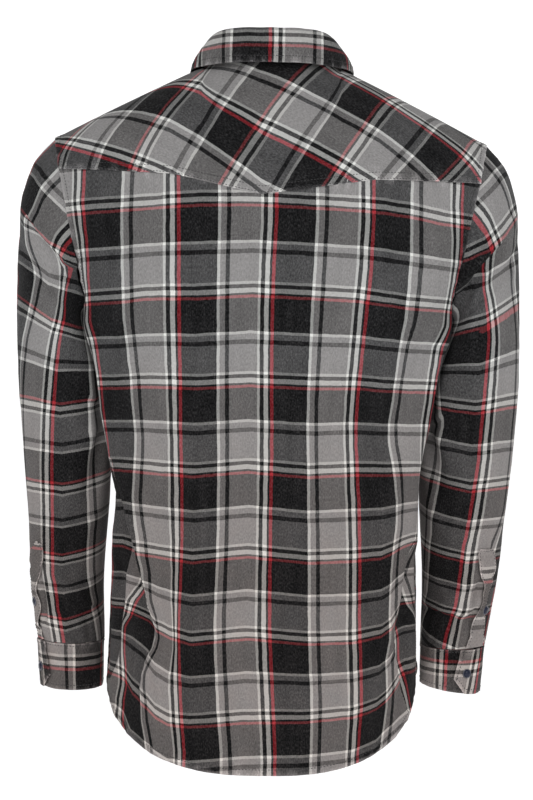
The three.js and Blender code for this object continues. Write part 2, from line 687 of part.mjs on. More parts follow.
// The placket strip over the sleeve's slit, made from the sleeve's own points, moved out.
function sleeveBandSheet(arm) {
  const wide = THREE.MathUtils.radToDeg(SLEEVE_BAND.width / ring.halfDepth(SLEEVE.length));
  const orderAt = (z) => {
    let [low, high] = [5, SLEEVE.length];
    for (let i = 0; i < 30; i++) {
      const middle = (low + high) / 2;
      if (ring.outZ(middle) > z) low = middle;
      else high = middle;
    }
    return (low + high) / 2;
  };
  const foot = ring.outZ(SLEEVE.length) + SLEEVE_BAND.gap;
  const rows = steps(8, foot + SLEEVE_BAND.length, foot).map((z) =>
    steps(4, arm.slit - wide / 2, arm.slit + wide / 2).map((turn) =>
      sided(arm, sleevePoint(orderAt(z), turn, arm)),
    ),
  );
  return facingOut(sheetOf(rows), arm.side * sleeveMiddle, sleeveMidY);
}

// The place and direction of the sleeve band's snap.
function onSleeveBand(arm, band) {
  const across = 5;
  const row = Math.round(8 * (1 - SLEEVE_BAND.snapUp / SLEEVE_BAND.length));
  const at = band.points[row * across + 2];
  const away = normalsOf(band)(at).clone();
  return [at.clone().addScaledVector(away, SLEEVE_BAND.lift), away];
}

// The place and direction of the cuff's snap.
function onCuff(arm) {
  const turn = arm.cuffEnd - 19;
  const lapped = CLOTH + 0.9;
  const at = cuffPoint(arm, turn, CUFF.snapDown, lapped - CUFF.taper * CUFF.snapDown);
  const away = point(arm.side * Math.cos(radians(turn)), Math.sin(radians(turn)), 0);
  return [at.addScaledVector(away, SEAM), away];
}

// Snaps: a domed cap in a ring, seated on the cloth.

function snapGeometry() {
  const { radius, height } = SNAP;
  const profile = [
    [0, 0],
    [radius, 0],
    [radius, height * 0.35],
    [radius * 0.86, height * 0.62],
    [radius * 0.5, height * 0.92],
    [0, height],
  ].map(([x, y]) => new THREE.Vector2(x, y));
  return new THREE.LatheGeometry(profile, 12);
}

const colours = { cloth: 0x59585a, snap: 0x15161c };
const cloth = () => new THREE.MeshStandardMaterial({ color: colours.cloth, roughness: 0.95 });
const metal = () =>
  new THREE.MeshStandardMaterial({ color: colours.snap, roughness: 0.25, metalness: 0.3 });

const shirt = new THREE.Group();
shirt.name = "western_snap_shirt";

function addPiece(name, geometry, material) {
  const mesh = new THREE.Mesh(geometry, material);
  mesh.name = name;
  shirt.add(mesh);
  return mesh;
}

// Seats a snap on a piece of cloth: at is on its outer face and away is the way it looks.
function addSnap(name, at, away) {
  const snap = addPiece(name, snapGeometry(), metal());
  snap.position.copy(at).addScaledVector(away, SEAM);
  snap.quaternion.setFromUnitVectors(point(0, 1, 0), away);
}

addPiece("yoke", clothWall(yokeSheet, { normalAt: trunkNormal }), cloth());
addPiece("back", clothWall(backSheet, { normalAt: trunkNormal }), cloth());
addPiece("front_left", clothWall(leftFrontSheet, { normalAt: trunkNormal }), cloth());
addPiece("front_right", clothWall(rightFrontSheet, { normalAt: trunkNormal }), cloth());
addPiece("front_band", clothWall(bandSheet, { lift: FRONT_BAND.lift, thickness: TRIM }), cloth());
addPiece("collar_stand", clothWall(facingOut(sheetOf(standRows()))), cloth());
addPiece("collar_fall", clothWall(facingOut(sheetOf(fallRows()))), cloth());

const collarSnapAway = point(0, -1, 0.12).normalize();
addSnap("snap_collar", standPoint(182, STAND.snapUp).addScaledVector(collarSnapAway, SEAM), collarSnapAway);

const bandNormal = normalsOf(bandSheet);
const bandRow = (z) => {
  const rows = bandRows();
  const middle = rows.map((row) => row[1].clone().add(row[2]).multiplyScalar(0.5));
  const below = middle.findIndex((p) => p.z < z);
  const [a, b] = [middle[below - 1], middle[below]];
  const at = a.clone().lerp(b, (a.z - z) / (a.z - b.z));
  return { at, away: bandNormal(rows[below][1]).clone().setX(0).normalize() };
};
for (let i = 0; i < SNAP.front; i++) {
  const { at, away } = bandRow(lerp(-112, -640, i / (SNAP.front - 1)));
  addSnap(`snap_front_${i + 1}`, at.addScaledVector(away, FRONT_BAND.lift), away);
}

for (const [name, arm] of Object.entries(ARMS)) {
  addPiece(`sleeve_${name}`, sleeveWall(arm), cloth());
  addPiece(`cuff_${name}`, clothWall(cuffSheet(arm)), cloth());
  const band = sleeveBandSheet(arm);
  addPiece(`sleeve_band_${name}`, clothWall(band, { lift: SLEEVE_BAND.lift, thickness: TRIM }), cloth());
  addSnap(`snap_sleeve_${name}`, ...onSleeveBand(arm, band));
  addSnap(`snap_cuff_${name}`, ...onCuff(arm));
}

export default shirt;
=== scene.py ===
import math

import bmesh
import bpy
import numpy as np
from mathutils import Matrix, Vector


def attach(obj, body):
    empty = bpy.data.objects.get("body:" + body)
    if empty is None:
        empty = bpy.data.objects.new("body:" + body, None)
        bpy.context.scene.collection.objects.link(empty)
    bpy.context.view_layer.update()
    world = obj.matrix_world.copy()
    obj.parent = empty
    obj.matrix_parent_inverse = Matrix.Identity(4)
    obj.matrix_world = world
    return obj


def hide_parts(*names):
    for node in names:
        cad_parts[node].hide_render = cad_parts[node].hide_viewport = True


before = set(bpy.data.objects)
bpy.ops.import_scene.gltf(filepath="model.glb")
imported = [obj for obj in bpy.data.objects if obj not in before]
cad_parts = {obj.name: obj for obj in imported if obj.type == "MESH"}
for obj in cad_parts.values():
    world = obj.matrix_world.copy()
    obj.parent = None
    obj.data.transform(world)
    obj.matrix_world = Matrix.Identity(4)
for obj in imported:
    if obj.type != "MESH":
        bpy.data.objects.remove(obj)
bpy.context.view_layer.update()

MM = 0.001

# The view: the shirt's back, seen from three metres by a level camera that leans a little.
# A pale sheet sweeps from the floor up behind the shirt, lit by large soft lamps.

VIEW_DISTANCE = 3000
VIEW_HEIGHT = -363
VIEW_LEAN = 0.95
MM_PER_PIXEL = 1.1
PICTURE = (533, 800)
SENSOR = 36

camera_data = bpy.data.cameras.new("camera")
camera = bpy.data.objects.new("camera", camera_data)
bpy.context.collection.objects.link(camera)
camera_data.sensor_fit = "VERTICAL"
camera_data.sensor_height = SENSOR
camera_data.lens = SENSOR * VIEW_DISTANCE / MM_PER_PIXEL / PICTURE[1]
camera_data.clip_end = 40
camera.location = (0, VIEW_DISTANCE * MM, VIEW_HEIGHT * MM)
facing = Matrix.Rotation(math.pi, 4, "Z") @ Matrix.Rotation(math.pi / 2, 4, "X")
camera.rotation_euler = (facing @ Matrix.Rotation(math.radians(VIEW_LEAN), 4, "Z")).to_euler()
bpy.context.scene.camera = camera

FLOOR_HEIGHT = -1.15
SWEEP_RADIUS = 1.2
SWEEP_BACK = -6.0
SWEEP_FRONT = 6.0
SWEEP_HALF_WIDTH = 8.0


def sweep_profile():
    yield SWEEP_FRONT, FLOOR_HEIGHT
    for step in range(13):
        turn = math.pi / 2 * step / 12
        yield SWEEP_BACK - SWEEP_RADIUS * math.sin(turn), FLOOR_HEIGHT + SWEEP_RADIUS * (1 - math.cos(turn))
    yield SWEEP_BACK - SWEEP_RADIUS, 5.0


profile = list(sweep_profile())
sweep_mesh = bpy.data.meshes.new("sweep")
sweep_mesh.from_pydata(
    [(side * SWEEP_HALF_WIDTH, y, z) for y, z in profile for side in (-1, 1)],
    [],
    [(2 * i, 2 * i + 1, 2 * i + 3, 2 * i + 2) for i in range(len(profile) - 1)],
)
for face in sweep_mesh.polygons:
    face.use_smooth = True
sweep = bpy.data.objects.new("sweep", sweep_mesh)
bpy.context.collection.objects.link(sweep)
paper = bpy.data.materials.new("white_paper")
paper.use_nodes = True
paper.node_tree.nodes["Principled BSDF"].inputs["Base Color"].default_value = (0.93, 0.93, 0.93, 1)
paper.node_tree.nodes["Principled BSDF"].inputs["Roughness"].default_value = 0.9
paper.node_tree.nodes["Principled BSDF"].inputs["Emission Color"].default_value = (1, 1, 1, 1)
paper.node_tree.nodes["Principled BSDF"].inputs["Emission Strength"].default_value = 0.42
sweep_mesh.materials.append(paper)

LAMPS = [
    ("key", (1.5, 3.2, 1.9), 1.8, 44),
    ("fill", (-2.2, 2.8, 0.6), 2.2, 26),
    ("front_left", (2.6, -1.9, 1.0), 2.0, 11),
    ("front_right", (-2.6, -1.9, 1.0), 2.0, 11),
]
for name, place, size, power in LAMPS:
    lamp_data = bpy.data.lights.new(name, "AREA")
    lamp_data.size = size
    lamp_data.energy = power
    lamp = bpy.data.objects.new(name, lamp_data)
    bpy.context.collection.objects.link(lamp)
    lamp.location = place
    aim = Vector((0, 0, VIEW_HEIGHT * MM)) - lamp.location
    lamp.rotation_euler = aim.to_track_quat("-Z", "Y").to_euler()

world = bpy.data.worlds.new("studio")
bpy.context.scene.world = world
world.use_nodes = True
world.node_tree.nodes["Background"].inputs["Color"].default_value = (1, 1, 1, 1)
world.node_tree.nodes["Background"].inputs["Strength"].default_value = 0.46
bpy.context.scene.view_settings.view_transform = "Standard"


# The flannel: a soft cotton twill woven in a check of black, grey, white and red, washed until it is
# pale along the yarns. One cloth for every cut piece; its map "cloth" holds millimetres / 1000.

REPEAT = (103.2, 98.5)
BLACK = 0.118
WARP = [
    ("red", 3.3), ("black", 36.7), ("white", 3), ("grey", 5.3), ("black", 4.3), ("grey", 28.8),
    ("white", 2.7), ("black", 3.9), ("white", 4.7), ("black", 2.3),
]
WEFT = [
    ("red", 2.6), ("black", 33.7), ("white", 2.8), ("grey", 5.7), ("black", 4.6), ("grey", 28),
    ("white", 2.8), ("black", 4), ("white", 4.8), ("black", 2.5),
]
WARP_YARNS = {
    "red": (0.62, 0.17, 0.20), "black": (BLACK, BLACK, 0.121), "white": (0.835, 0.835, 0.82),
    "grey": (0.543, 0.533, 0.529),
}
WEFT_YARNS = {
    "red": (0.68, 0.24, 0.26), "black": (BLACK, BLACK, 0.121), "white": (0.90, 0.90, 0.885),
    "grey": (0.534, 0.532, 0.534),
}
WARP_SHARE = 0.6


class Socket:
    """A value in a material, so that its maths reads as plain expressions."""

    def __init__(self, tree, link):
        self.tree = tree
        self.link = link

    def node(self, kind, settings=None, out=0, **inputs):
        made = self.tree.nodes.new(kind)
        for key, value in (settings or {}).items():
            if key == "stops":
                set_stops(made.color_ramp, value)
            else:
                setattr(made, key, value)
        for key, value in inputs.items():
            place = int(key[1:]) if key[1:].isdigit() else key.replace("_", " ")
            if isinstance(value, Socket):
                self.tree.links.new(value.link, made.inputs[place])
            else:
                made.inputs[place].default_value = value
        return Socket(self.tree, made.outputs[out])

    def math(self, operation, a, b=0.0):
        return self.node("ShaderNodeMath", {"operation": operation}, i0=a, i1=b)

    def __add__(self, other):
        return self.math("ADD", self, other)

    __radd__ = __add__

    def __sub__(self, other):
        return self.math("SUBTRACT", self, other)

    def __rsub__(self, other):
        return self.math("SUBTRACT", other, self)

    def __mul__(self, other):
        return self.math("MULTIPLY", self, other)

    __rmul__ = __mul__

    def __truediv__(self, other):
        return self.math("DIVIDE", self, other)


def set_stops(ramp, stops):
    ramp.interpolation = "CONSTANT"
    while len(ramp.elements) > 1:
        ramp.elements.remove(ramp.elements[-1])
    for i, (place, colour) in enumerate(stops):
        stop = ramp.elements[0] if i == 0 else ramp.elements.new(place)
        stop.position = place
        stop.color = (*colour, 1)


def stripes(sett, yarns):
    whole = sum(width for _, width in sett)
    place = 0
    for name, width in sett:
        yield place / whole, yarns[name]
        place += width


def new_material(name):
    material = bpy.data.materials.new(name)
    material.use_nodes = True
    tree = material.node_tree
    shader = tree.nodes["Principled BSDF"]
    return material, shader, Socket(tree, None)


def feed(shader, name, socket):
    socket.tree.links.new(socket.link, shader.inputs[name])


def weave_flannel():
    material, shader, cloth = new_material("plaid_flannel")
    where = cloth.node("ShaderNodeUVMap", {"uv_map": "cloth"})
    wander = cloth.node("ShaderNodeTexNoise", Vector=where, Scale=60.0, Detail=2.0)
    fray = cloth.node("ShaderNodeTexNoise", Vector=where, Scale=1400.0, Detail=1.0)
    split = cloth.node("ShaderNodeSeparateXYZ", Vector=where)
    across = split
    along = Socket(split.tree, split.link.node.outputs[1])
    edge = (wander - 0.5) * 0.0016 + (fray - 0.5) * 0.0012
    first = WARP[0][1] / 2 * MM
    warp_place = (across + edge + first) / (REPEAT[0] * MM)
    weft_place = (along + edge + WEFT[0][1] / 2 * MM) / (REPEAT[1] * MM)
    warp = cloth.node("ShaderNodeValToRGB", {"stops": list(stripes(WARP, WARP_YARNS))},
                      Fac=cloth.math("FRACT", warp_place))
    weft = cloth.node("ShaderNodeValToRGB", {"stops": list(stripes(WEFT, WEFT_YARNS))},
                      Fac=cloth.math("FRACT", weft_place))

    # The twill shows warp and weft by turns, on steep lines half a millimetre apart.
    twill = cloth.math("FRACT", (across + along * 0.62) / 0.00095)
    shown = cloth.math("GREATER_THAN", twill, 0.5) * 0.22 + (1 - WARP_SHARE) - 0.11
    mixed = cloth.node("ShaderNodeMix", {"data_type": "RGBA"}, out=2, Factor=shown, i6=warp, i7=weft)

    # Washing leaves pale flecks along the warp, soft streaks and a mottled nap.
    stretch = cloth.node("ShaderNodeVectorMath", {"operation": "MULTIPLY"}, i0=where, i1=(1, 0.45, 1))
    fleck = cloth.node("ShaderNodeTexNoise", Vector=stretch, Scale=700.0, Detail=4.0, Roughness=0.75)
    mottle = cloth.node("ShaderNodeTexNoise", Vector=where, Scale=38.0, Detail=4.0)
    streak_place = cloth.node("ShaderNodeVectorMath", {"operation": "MULTIPLY"}, i0=where, i1=(1, 0.12, 1))
    streak = cloth.node("ShaderNodeTexNoise", Vector=streak_place, Scale=110.0, Detail=3.0)
    worn = cloth.node("ShaderNodeAttribute", {"attribute_name": "worn"}, out="Fac")
    browned = cloth.node("ShaderNodeAttribute", {"attribute_name": "browned"}, out="Fac")
    wash = (fleck - 0.5) * 0.55 + (mottle - 0.5) * 0.08 + (streak - 0.5) * 0.09 + worn * fleck * 0.3
    lift = cloth.node("ShaderNodeCombineXYZ", X=wash, Y=wash, Z=wash * 1.02)
    shown_most = cloth.node("ShaderNodeVectorMath", {"operation": "MULTIPLY_ADD"}, i0=mixed,
            i1=(-1.08, -1.08, -1.08),
                            i2=(1.28, 1.25, 1.235))
    fuzz = cloth.node("ShaderNodeVectorMath", {"operation": "MULTIPLY"}, i0=lift, i1=shown_most)
    raised = cloth.node("ShaderNodeVectorMath", {"operation": "ADD"}, i0=mixed, i1=fuzz)
    floor = cloth.node("ShaderNodeVectorMath", {"operation": "MAXIMUM"}, i0=raised, i1=(0.02, 0.02, 0.02))
    brown = browned * (mottle * 1.2 + 0.4)
    tint = cloth.node("ShaderNodeCombineXYZ", X=1 - brown * 0.045, Y=1 - brown * 0.103, Z=1 - brown * 0.127)
    aged = cloth.node("ShaderNodeVectorMath", {"operation": "MULTIPLY"}, i0=floor, i1=tint)
    colour = cloth.node("ShaderNodeGamma", Color=aged, Gamma=2.2)
    feed(shader, "Base Color", colour)
    feed(shader, "Roughness", 0.93 - fleck * 0.12)
    nap = fleck * 0.6 + cloth.math("PINGPONG", twill, 0.5) * 0.5 + mottle * 0.8
    feed(shader, "Normal", cloth.node("ShaderNodeBump", Strength=0.35, Distance=0.0006, Height=nap))
    shader.inputs["Sheen Weight"].default_value = 0.03
    shader.inputs["Sheen Roughness"].default_value = 0.55
    shader.inputs["Specular IOR Level"].default_value = 0.08
    return material


flannel = weave_flannel()


# The back: one panel on the straight grain, from the yoke down to the curved shirt tail, sewn into
# the armholes and down the side seams. Its tail has a narrow hem turned in twice and topstitched.

CLOTH = 0.9
SHOULDER = (236, -80)
ARMPIT = (197, -4, -268)
ARMHOLE_DEPTH = {1: 58, -1: 52}
YOKE_TURN = 56.25
BULGE = {"off": 38, "width": 25, "fade": 18, "dent": 0.3}
HEM = {"side": -656, 1: -762, -1: -738, "roundness": 2.7}
BACK_POINT = {"share": 0.035, "drop": 16.5, "left": 0.4, "right": 0.5}
SEAM_LIFT = 9


def table(names, *rows):
    return dict(zip(names.split(), np.array(rows, float).T))


TRUNK = table(
    "z back front side behind_arm square",
    (-110, 106, 104, 197, 0, 2.3),
    (-150, 114, 116, 197, 0, 2.35),
    (-195, 119, 124, 197, 0, 2.4),
    (-245, 119, 128, 197, 4, 2.45),
    (-268, 118, 128, 197, 8, 2.45),
    (-290, 117, 128, 184, 20, 2.45),
    (-326, 114, 126, 170, 23, 2.45),
    (-380, 109, 122, 163, 22, 2.4),
    (-427, 104, 118, 162, 14, 2.35),
    (-462, 102, 116, 164, 9, 2.3),
    (-517, 102, 115, 166, 6, 2.3),
    (-583, 105, 116, 168, 3, 2.3),
    (-656, 107, 115, 170, 0, 2.3),
    (-765, 106, 110, 168, 0, 2.3),
)
# Soft folds of the trunk. turn: degrees round the body from the left side seam towards the back.
TRUNK_FOLDS = table(
    "start start_turn end end_turn width height",
    (-430, 24, -735, 40, 17, 5),
    (-500, 14, -690, 20, 12, -5),
    (-430, 155, -735, 141, 17, 5),
    (-500, 166, -690, 160, 12, -5),
    (-520, 74, -765, 71, 24, 3.5),
    (-520, 112, -765, 116, 26, 3),
    (-330, -32, -690, -46, 22, 5),
    (-330, 212, -690, 226, 22, 5),
    (-230, -62, -470, -74, 26, -3.5),
    (-230, 242, -470, 254, 26, -3.5),
)
# Where the cloth's weft lines hang down the middle of the back: cloth is the length from the first
# red line, which is more than the drop because the cloth sinks a little into folds.
BACK_DROP = table(
    "z cloth",
    (-100, -57),
    (-156.7, 0),
    (-254, 98.5),
    (-348.2, 197),
    (-441.5, 295.5),
    (-534.7, 394),
    (-620.6, 492.5),
    (-707.9, 591),
    (-765, 652),
)
# Where lines of the warp run, in millimetres to the right as seen from behind: the red stripes d, a,
# b and c, and the white lines w, x and y. A 0 says that a line lies out of sight, past its neighbour.
WARP_LINES = {"d": -2 * REPEAT[0], "w": -163.3, "a": -REPEAT[0], "b": 0, "c": REPEAT[0], "x": 146.3, "y": 191}
BACK_WARP = table(
    "z d w a b c x y",
    (-130, -199.7, -156.9, -97.6, 6.9, 110, 151.2, 194.5),
    (-152, -200.6, -157.8, -96.6, 7.3, 110.3, 151.2, 194),
    (-173, -199, -157.9, -96, 7.4, 110.5, 151.1, 195.2),
    (-194, -196.4, -157.3, -95.5, 6.4, 109.5, 151.4, 196.4),
    (-216, -195, -156.7, -95.2, 5.5, 108.8, 151, 196.3),
    (-238, -194.5, -156, -94.8, 5.0, 107.5, 149.6, 194.5),
    (-259, -193.9, -154.8, -94.4, 4.7, 105.2, 148.1, 191.7),
    (-280, -193.3, -154, -93.8, 4.6, 103.6, 146.2, 189.3),
    (-302, -186, -151.5, -93.2, 4.6, 101.6, 142.8, 0),
    (-323, 0, -149.5, -92.7, 4.8, 99.8, 140.3, 0),
    (-344, 0, -146.6, -92.2, 5.1, 97.6, 137.8, 0),
    (-365, 0, -145, -91.7, 5.5, 96.4, 135.2, 0),
    (-387, 0, -142, -91.2, 6.0, 95.6, 132.4, 0),
    (-408, 0, -140, -90.6, 6.3, 96.2, 133.2, 0),
    (-430, 0, -139.6, -89.8, 6.4, 97.7, 136.6, 0),
    (-451, 0, -139.8, -89.1, 6.4, 99, 138.4, 0),
    (-472, 0, -139.8, -88.7, 6.2, 100.4, 139.3, 0),
    (-500, 0, -135, -88.5, 6.4, 101.5, 138.2, 0),
    (-516, 0, -131, -88.4, 6.5, 102, 135.9, 0),
    (-533, 0, -129.4, -88.5, 6.6, 102.3, 134.2, 0),
    (-547, 0, -125.7, -88.8, 6.6, 102.4, 133.6, 0),
    (-563, 0, -123.9, -89.2, 6.6, 102.4, 132.7, 0),
    (-580, 0, -122, -89.4, 6.8, 102.5, 131.9, 0),
    (-597, -145, -116, -89.7, 7.0, 102.7, 131.7, 0),
    (-606, -148.4, -114.5, -89.8, 7.2, 102.8, 132.1, 0),
    (-618, -150, -112.2, -89.4, 7.8, 103.2, 132.7, 0),
    (-630, -150.3, -114.5, -88.9, 8.4, 103.8, 131.4, 0),
    (-640, -150.3, -120, -88.5, 9.0, 104.2, 129.7, 0),
    (-658, -148.7, -129, -87.8, 10.3, 104.7, 132.6, 0),
    (-673, -148, -130.9, -87.1, 11.2, 105, 134, 0),
    (-690, -150, -128.8, -86.2, 12.3, 105.3, 134, 0),
    (-708, -149.5, -128.5, -84.9, 13.4, 104.6, 132.3, 0),
    (-740, -146, -122, -81.5, 15.2, 103, 127.5, 0),
)
# The cloth hangs over itself in a fold on either side of the tail. Each row gives its edge to the
# right as seen from behind, how much cloth it hides, and how deep it is.
SIDE_FOLDS = {
    "left": table(
        "z edge hidden depth",
        (-430, -168, 60, 0), (-450, -164, 72, 2), (-470, -155, 76, 8), (-485, -148, 75, 12),
        (-498, -145, 68, 13),
        (-513, -139.5, 60, 13), (-527, -135.5, 56, 12), (-541, -132.5, 52, 11), (-562, -126.3, 43, 10),
        (-575, -123, 32, 9), (-587, -121, 18.6, 8), (-597, -117, 7, 7), (-611, -113, 0, 6),
        (-630, -115.5, 0, 5), (-646, -123.5, 0, 4), (-673, -131, 0, 3), (-710, -130, 0, 1.5),
        (-740, -124, 0, 0),
    ),
    "left_seam": table(
        "z edge hidden depth",
        (-462, -161, 8, 0), (-470, -157, 12, 2), (-485, -150.5, 18, 4), (-500, -148, 22, 5),
        (-513, -147.2, 25, 5),
        (-530, -148, 27, 5), (-552, -151, 33, 5), (-575, -150.5, 38, 5), (-588, -151.5, 44, 5),
        (-607, -157, 50, 5), (-622, -157.4, 50, 5), (-638, -158.6, 50, 4), (-655, -161, 50, 3),
        (-670, -165, 50, 0),
    ),
    "right": table(
        "z edge hidden depth",
        (-515, 164, 60, 0), (-537, 156.4, 69, 5), (-550, 152.3, 72, 8), (-567, 149.4, 63, 9),
        (-584, 146.4, 56, 9),
        (-595, 143.5, 44, 9), (-606, 140.5, 34, 8), (-619, 140.6, 31, 7), (-640, 145, 25, 6),
        (-662, 151, 20, 4),
        (-683, 155, 15, 2), (-705, 160, 10, 0),
    ),
}
# How far the red weft lines sag below their middle, or rise, at places across the back.
BACK_SAG = table(
    "across at_157 at_254 at_348 at_441 at_535 at_621 at_708",
    (-226, 10, 10, 6, 3, -8, -46, -52),
    (-160, 6.5, 7, 5, 0, -12, -42, -50),
    (-150, 6, 6, 4.2, 0.5, -9, -40, -43),
    (-141, 5.5, 4.8, 3.5, 1, -6, -37, -24),
    (-128, 4.5, 3.7, 3, 1.8, -4, -30, -14.5),
    (-120, 4, 3.3, 3, 2.4, -3, -24, -10.5),
    (-112, 3.3, 3, 3, 2.8, -1.5, -11, -4),
    (-99, 2.4, 3, 3.3, 3.4, 0.3, -2, 3.5),
    (-76, 1, 3, 4, 4.5, 3, 4, 4.6),
    (-18, 0, -1, 0, -1.5, -5, -4, -2),
    (46, 2, 1, 2, 3, 1, 1, -4),
    (97, 4, 3, 1, 0, -1, 0, -9),
    (123, 5.5, 6, 3, 0.5, -4, -7, -18),
    (134, 7, 7, 3.4, 0.2, -10, -16, -28),
    (149, 8.5, 9, 4, 0, -18, -50, -40),
    (160, 10, 9.4, 4, 0, -22, -58, -46),
    (187, 15, 10, 4, 0, -26, -62, -50),
    (226, 18, 12, 4, 0, -26, -62, -50),
)


def curve(rows, along, name, at):
    order = np.argsort(rows[along])
    x, y = rows[along][order], rows[name][order]
    before = np.maximum(np.arange(len(x)) - 1, 0)
    after = np.minimum(np.arange(len(x)) + 1, len(x) - 1)
    slope = (y[after] - y[before]) / (x[after] - x[before])
    at = np.clip(at, x[0], x[-1])
    i = np.clip(np.searchsorted(x, at, side="right") - 1, 0, len(x) - 2)
    span = x[i + 1] - x[i]
    t = (at - x[i]) / span
    rest = 1 - t
    return (y[i] * (1 + 2 * t) * rest**2 + y[i + 1] * t**2 * (3 - 2 * t)
            + span * (slope[i] * t * rest**2 - slope[i + 1] * t**2 * rest))


def armhole(face, turn):
    turn = np.radians(turn)
    down = (1 - np.cos(turn)) / 2
    return (SHOULDER[0] + (ARMPIT[0] - SHOULDER[0]) * down,
            ARMPIT[1] * down + face * ARMHOLE_DEPTH[face] * np.sin(turn),
            SHOULDER[1] + (ARMPIT[2] - SHOULDER[1]) * down)


def half_section(face, z):
    """The trunk's outline at each height, from the centre line to the armhole or side seam."""
    down = np.clip((SHOULDER[1] - z) / (SHOULDER[1] - ARMPIT[2]), 0, 1)
    hole_x, hole_y, _ = armhole(face, np.degrees(np.arccos(1 - 2 * down)))
    below = z <= ARMPIT[2]
    end_x = np.where(below, curve(TRUNK, "z", "side", z), hole_x)[..., None]
    end_y = np.where(below, ARMPIT[1], hole_y)[..., None]
    depth = (face * curve(TRUNK, "z", "back" if face > 0 else "front", z))[..., None]
    power = (2 / curve(TRUNK, "z", "square", z))[..., None]
    last = np.arccos(np.clip((end_y - ARMPIT[1]) / (depth - ARMPIT[1]), 0, 1) ** (1 / power))
    turn = last * np.linspace(0, 1, 57)
    y = ARMPIT[1] + (depth - ARMPIT[1]) * np.maximum(np.cos(turn), 0) ** power
    off = np.abs(y - ARMPIT[1]) - BULGE["off"]
    fade = np.minimum(np.abs(y - end_y) / BULGE["fade"], 1)
    bulge = curve(TRUNK, "z", "behind_arm", z)[..., None] * (1 if face > 0 else -BULGE["dent"])
    x = end_x * (np.sin(turn) / np.sin(last)) ** power + bulge * np.exp(-((off / BULGE["width"]) ** 2)) * fade
    return x, y


def on_trunk(face, share, z, start=0.0):
    """Points of the trunk and their length round it; share runs from start (0) to the edge (1)."""
    share, z = np.broadcast_arrays(np.asarray(share, float), np.asarray(z, float))
    x, y = half_section(face, z)
    steps = np.hypot(np.diff(x, axis=-1), np.diff(y, axis=-1))
    run = np.concatenate([np.zeros(z.shape + (1,)), np.cumsum(steps, axis=-1)], axis=-1)
    length = start + (run[..., -1] - start) * share
    reach = np.abs(length)[..., None]
    i = np.clip((run <= reach).sum(axis=-1) - 1, 0, run.shape[-1] - 2)[..., None]
    near, far = np.take_along_axis(run, i, -1), np.take_along_axis(run, i + 1, -1)
    t = (reach - near) / (far - near)
    px, py = ((np.take_along_axis(v, i, -1) * (1 - t) + np.take_along_axis(v, i + 1, -1) * t)[..., 0]
              for v in (x, y))
    return np.stack([px * np.sign(np.where(length == 0, 1, length)), py, z], -1), length


SEAM_SIDE = float(armhole(1, YOKE_TURN)[2])


def back_seam(signed_share):
    off = signed_share - BACK_POINT["share"]
    reach = np.where(off < 0, BACK_POINT["right"], BACK_POINT["left"])
    pointed = np.clip(1 - np.abs(off) / reach, 0, 1)
    lift = SEAM_LIFT * np.clip(signed_share * 1.15 - 0.15, 0, 1)
    return SEAM_SIDE - 3 * (1 - np.abs(signed_share)) - BACK_POINT["drop"] * pointed + lift


def hem_height(face, share):
    return HEM[face] + (HEM["side"] - HEM[face]) * np.abs(share) ** HEM["roundness"]


def bump(folds, down, turn, radius):
    """How far soft folds move the cloth at each place."""
    out = np.zeros(np.broadcast(down, turn).shape)
    for start, first, end, last, width, height in zip(*folds.values()):
        first, last = math.radians(first), math.radians(last)
        middle = (first + last) / 2
        here = turn + np.round((middle - turn) / (2 * math.pi)) * 2 * math.pi
        along = np.clip((down - start) / (end - start), 0, 1)
        off = (here - first - (last - first) * along) * radius
        past = down - start - (end - start) * along
        fade = np.sin(math.pi * (along * 0.86 + 0.07))
        out += height * fade * np.exp(-(off**2 + past**2) / width**2)
    return out


def with_trunk_folds(points):
    x, y, z = (points[..., i] for i in range(3))
    radius = np.hypot(x, y)
    out = bump(TRUNK_FOLDS, z, np.arctan2(y - ARMPIT[1], x), radius)
    away = np.stack([x / radius, y / radius, np.zeros_like(z)], -1)
    return points + away * out[..., None]


def ripple(across, along, size, seed):
    """Smooth unevenness between -1 and 1, with waves of about the given size."""
    lattice = np.random.RandomState(seed).uniform(-1, 1, (64, 64))
    x, y = across / size + 1000, along / size + 1000
    i, j = np.floor(x).astype(int), np.floor(y).astype(int)
    u, v = x - i, y - j
    u, v = u * u * (3 - 2 * u), v * v * (3 - 2 * v)

    def at(a, b):
        return lattice[a % 64, b % 64]

    return ((at(i, j) * (1 - u) + at(i + 1, j) * u) * (1 - v)
            + (at(i, j + 1) * (1 - u) + at(i + 1, j + 1) * u) * v)


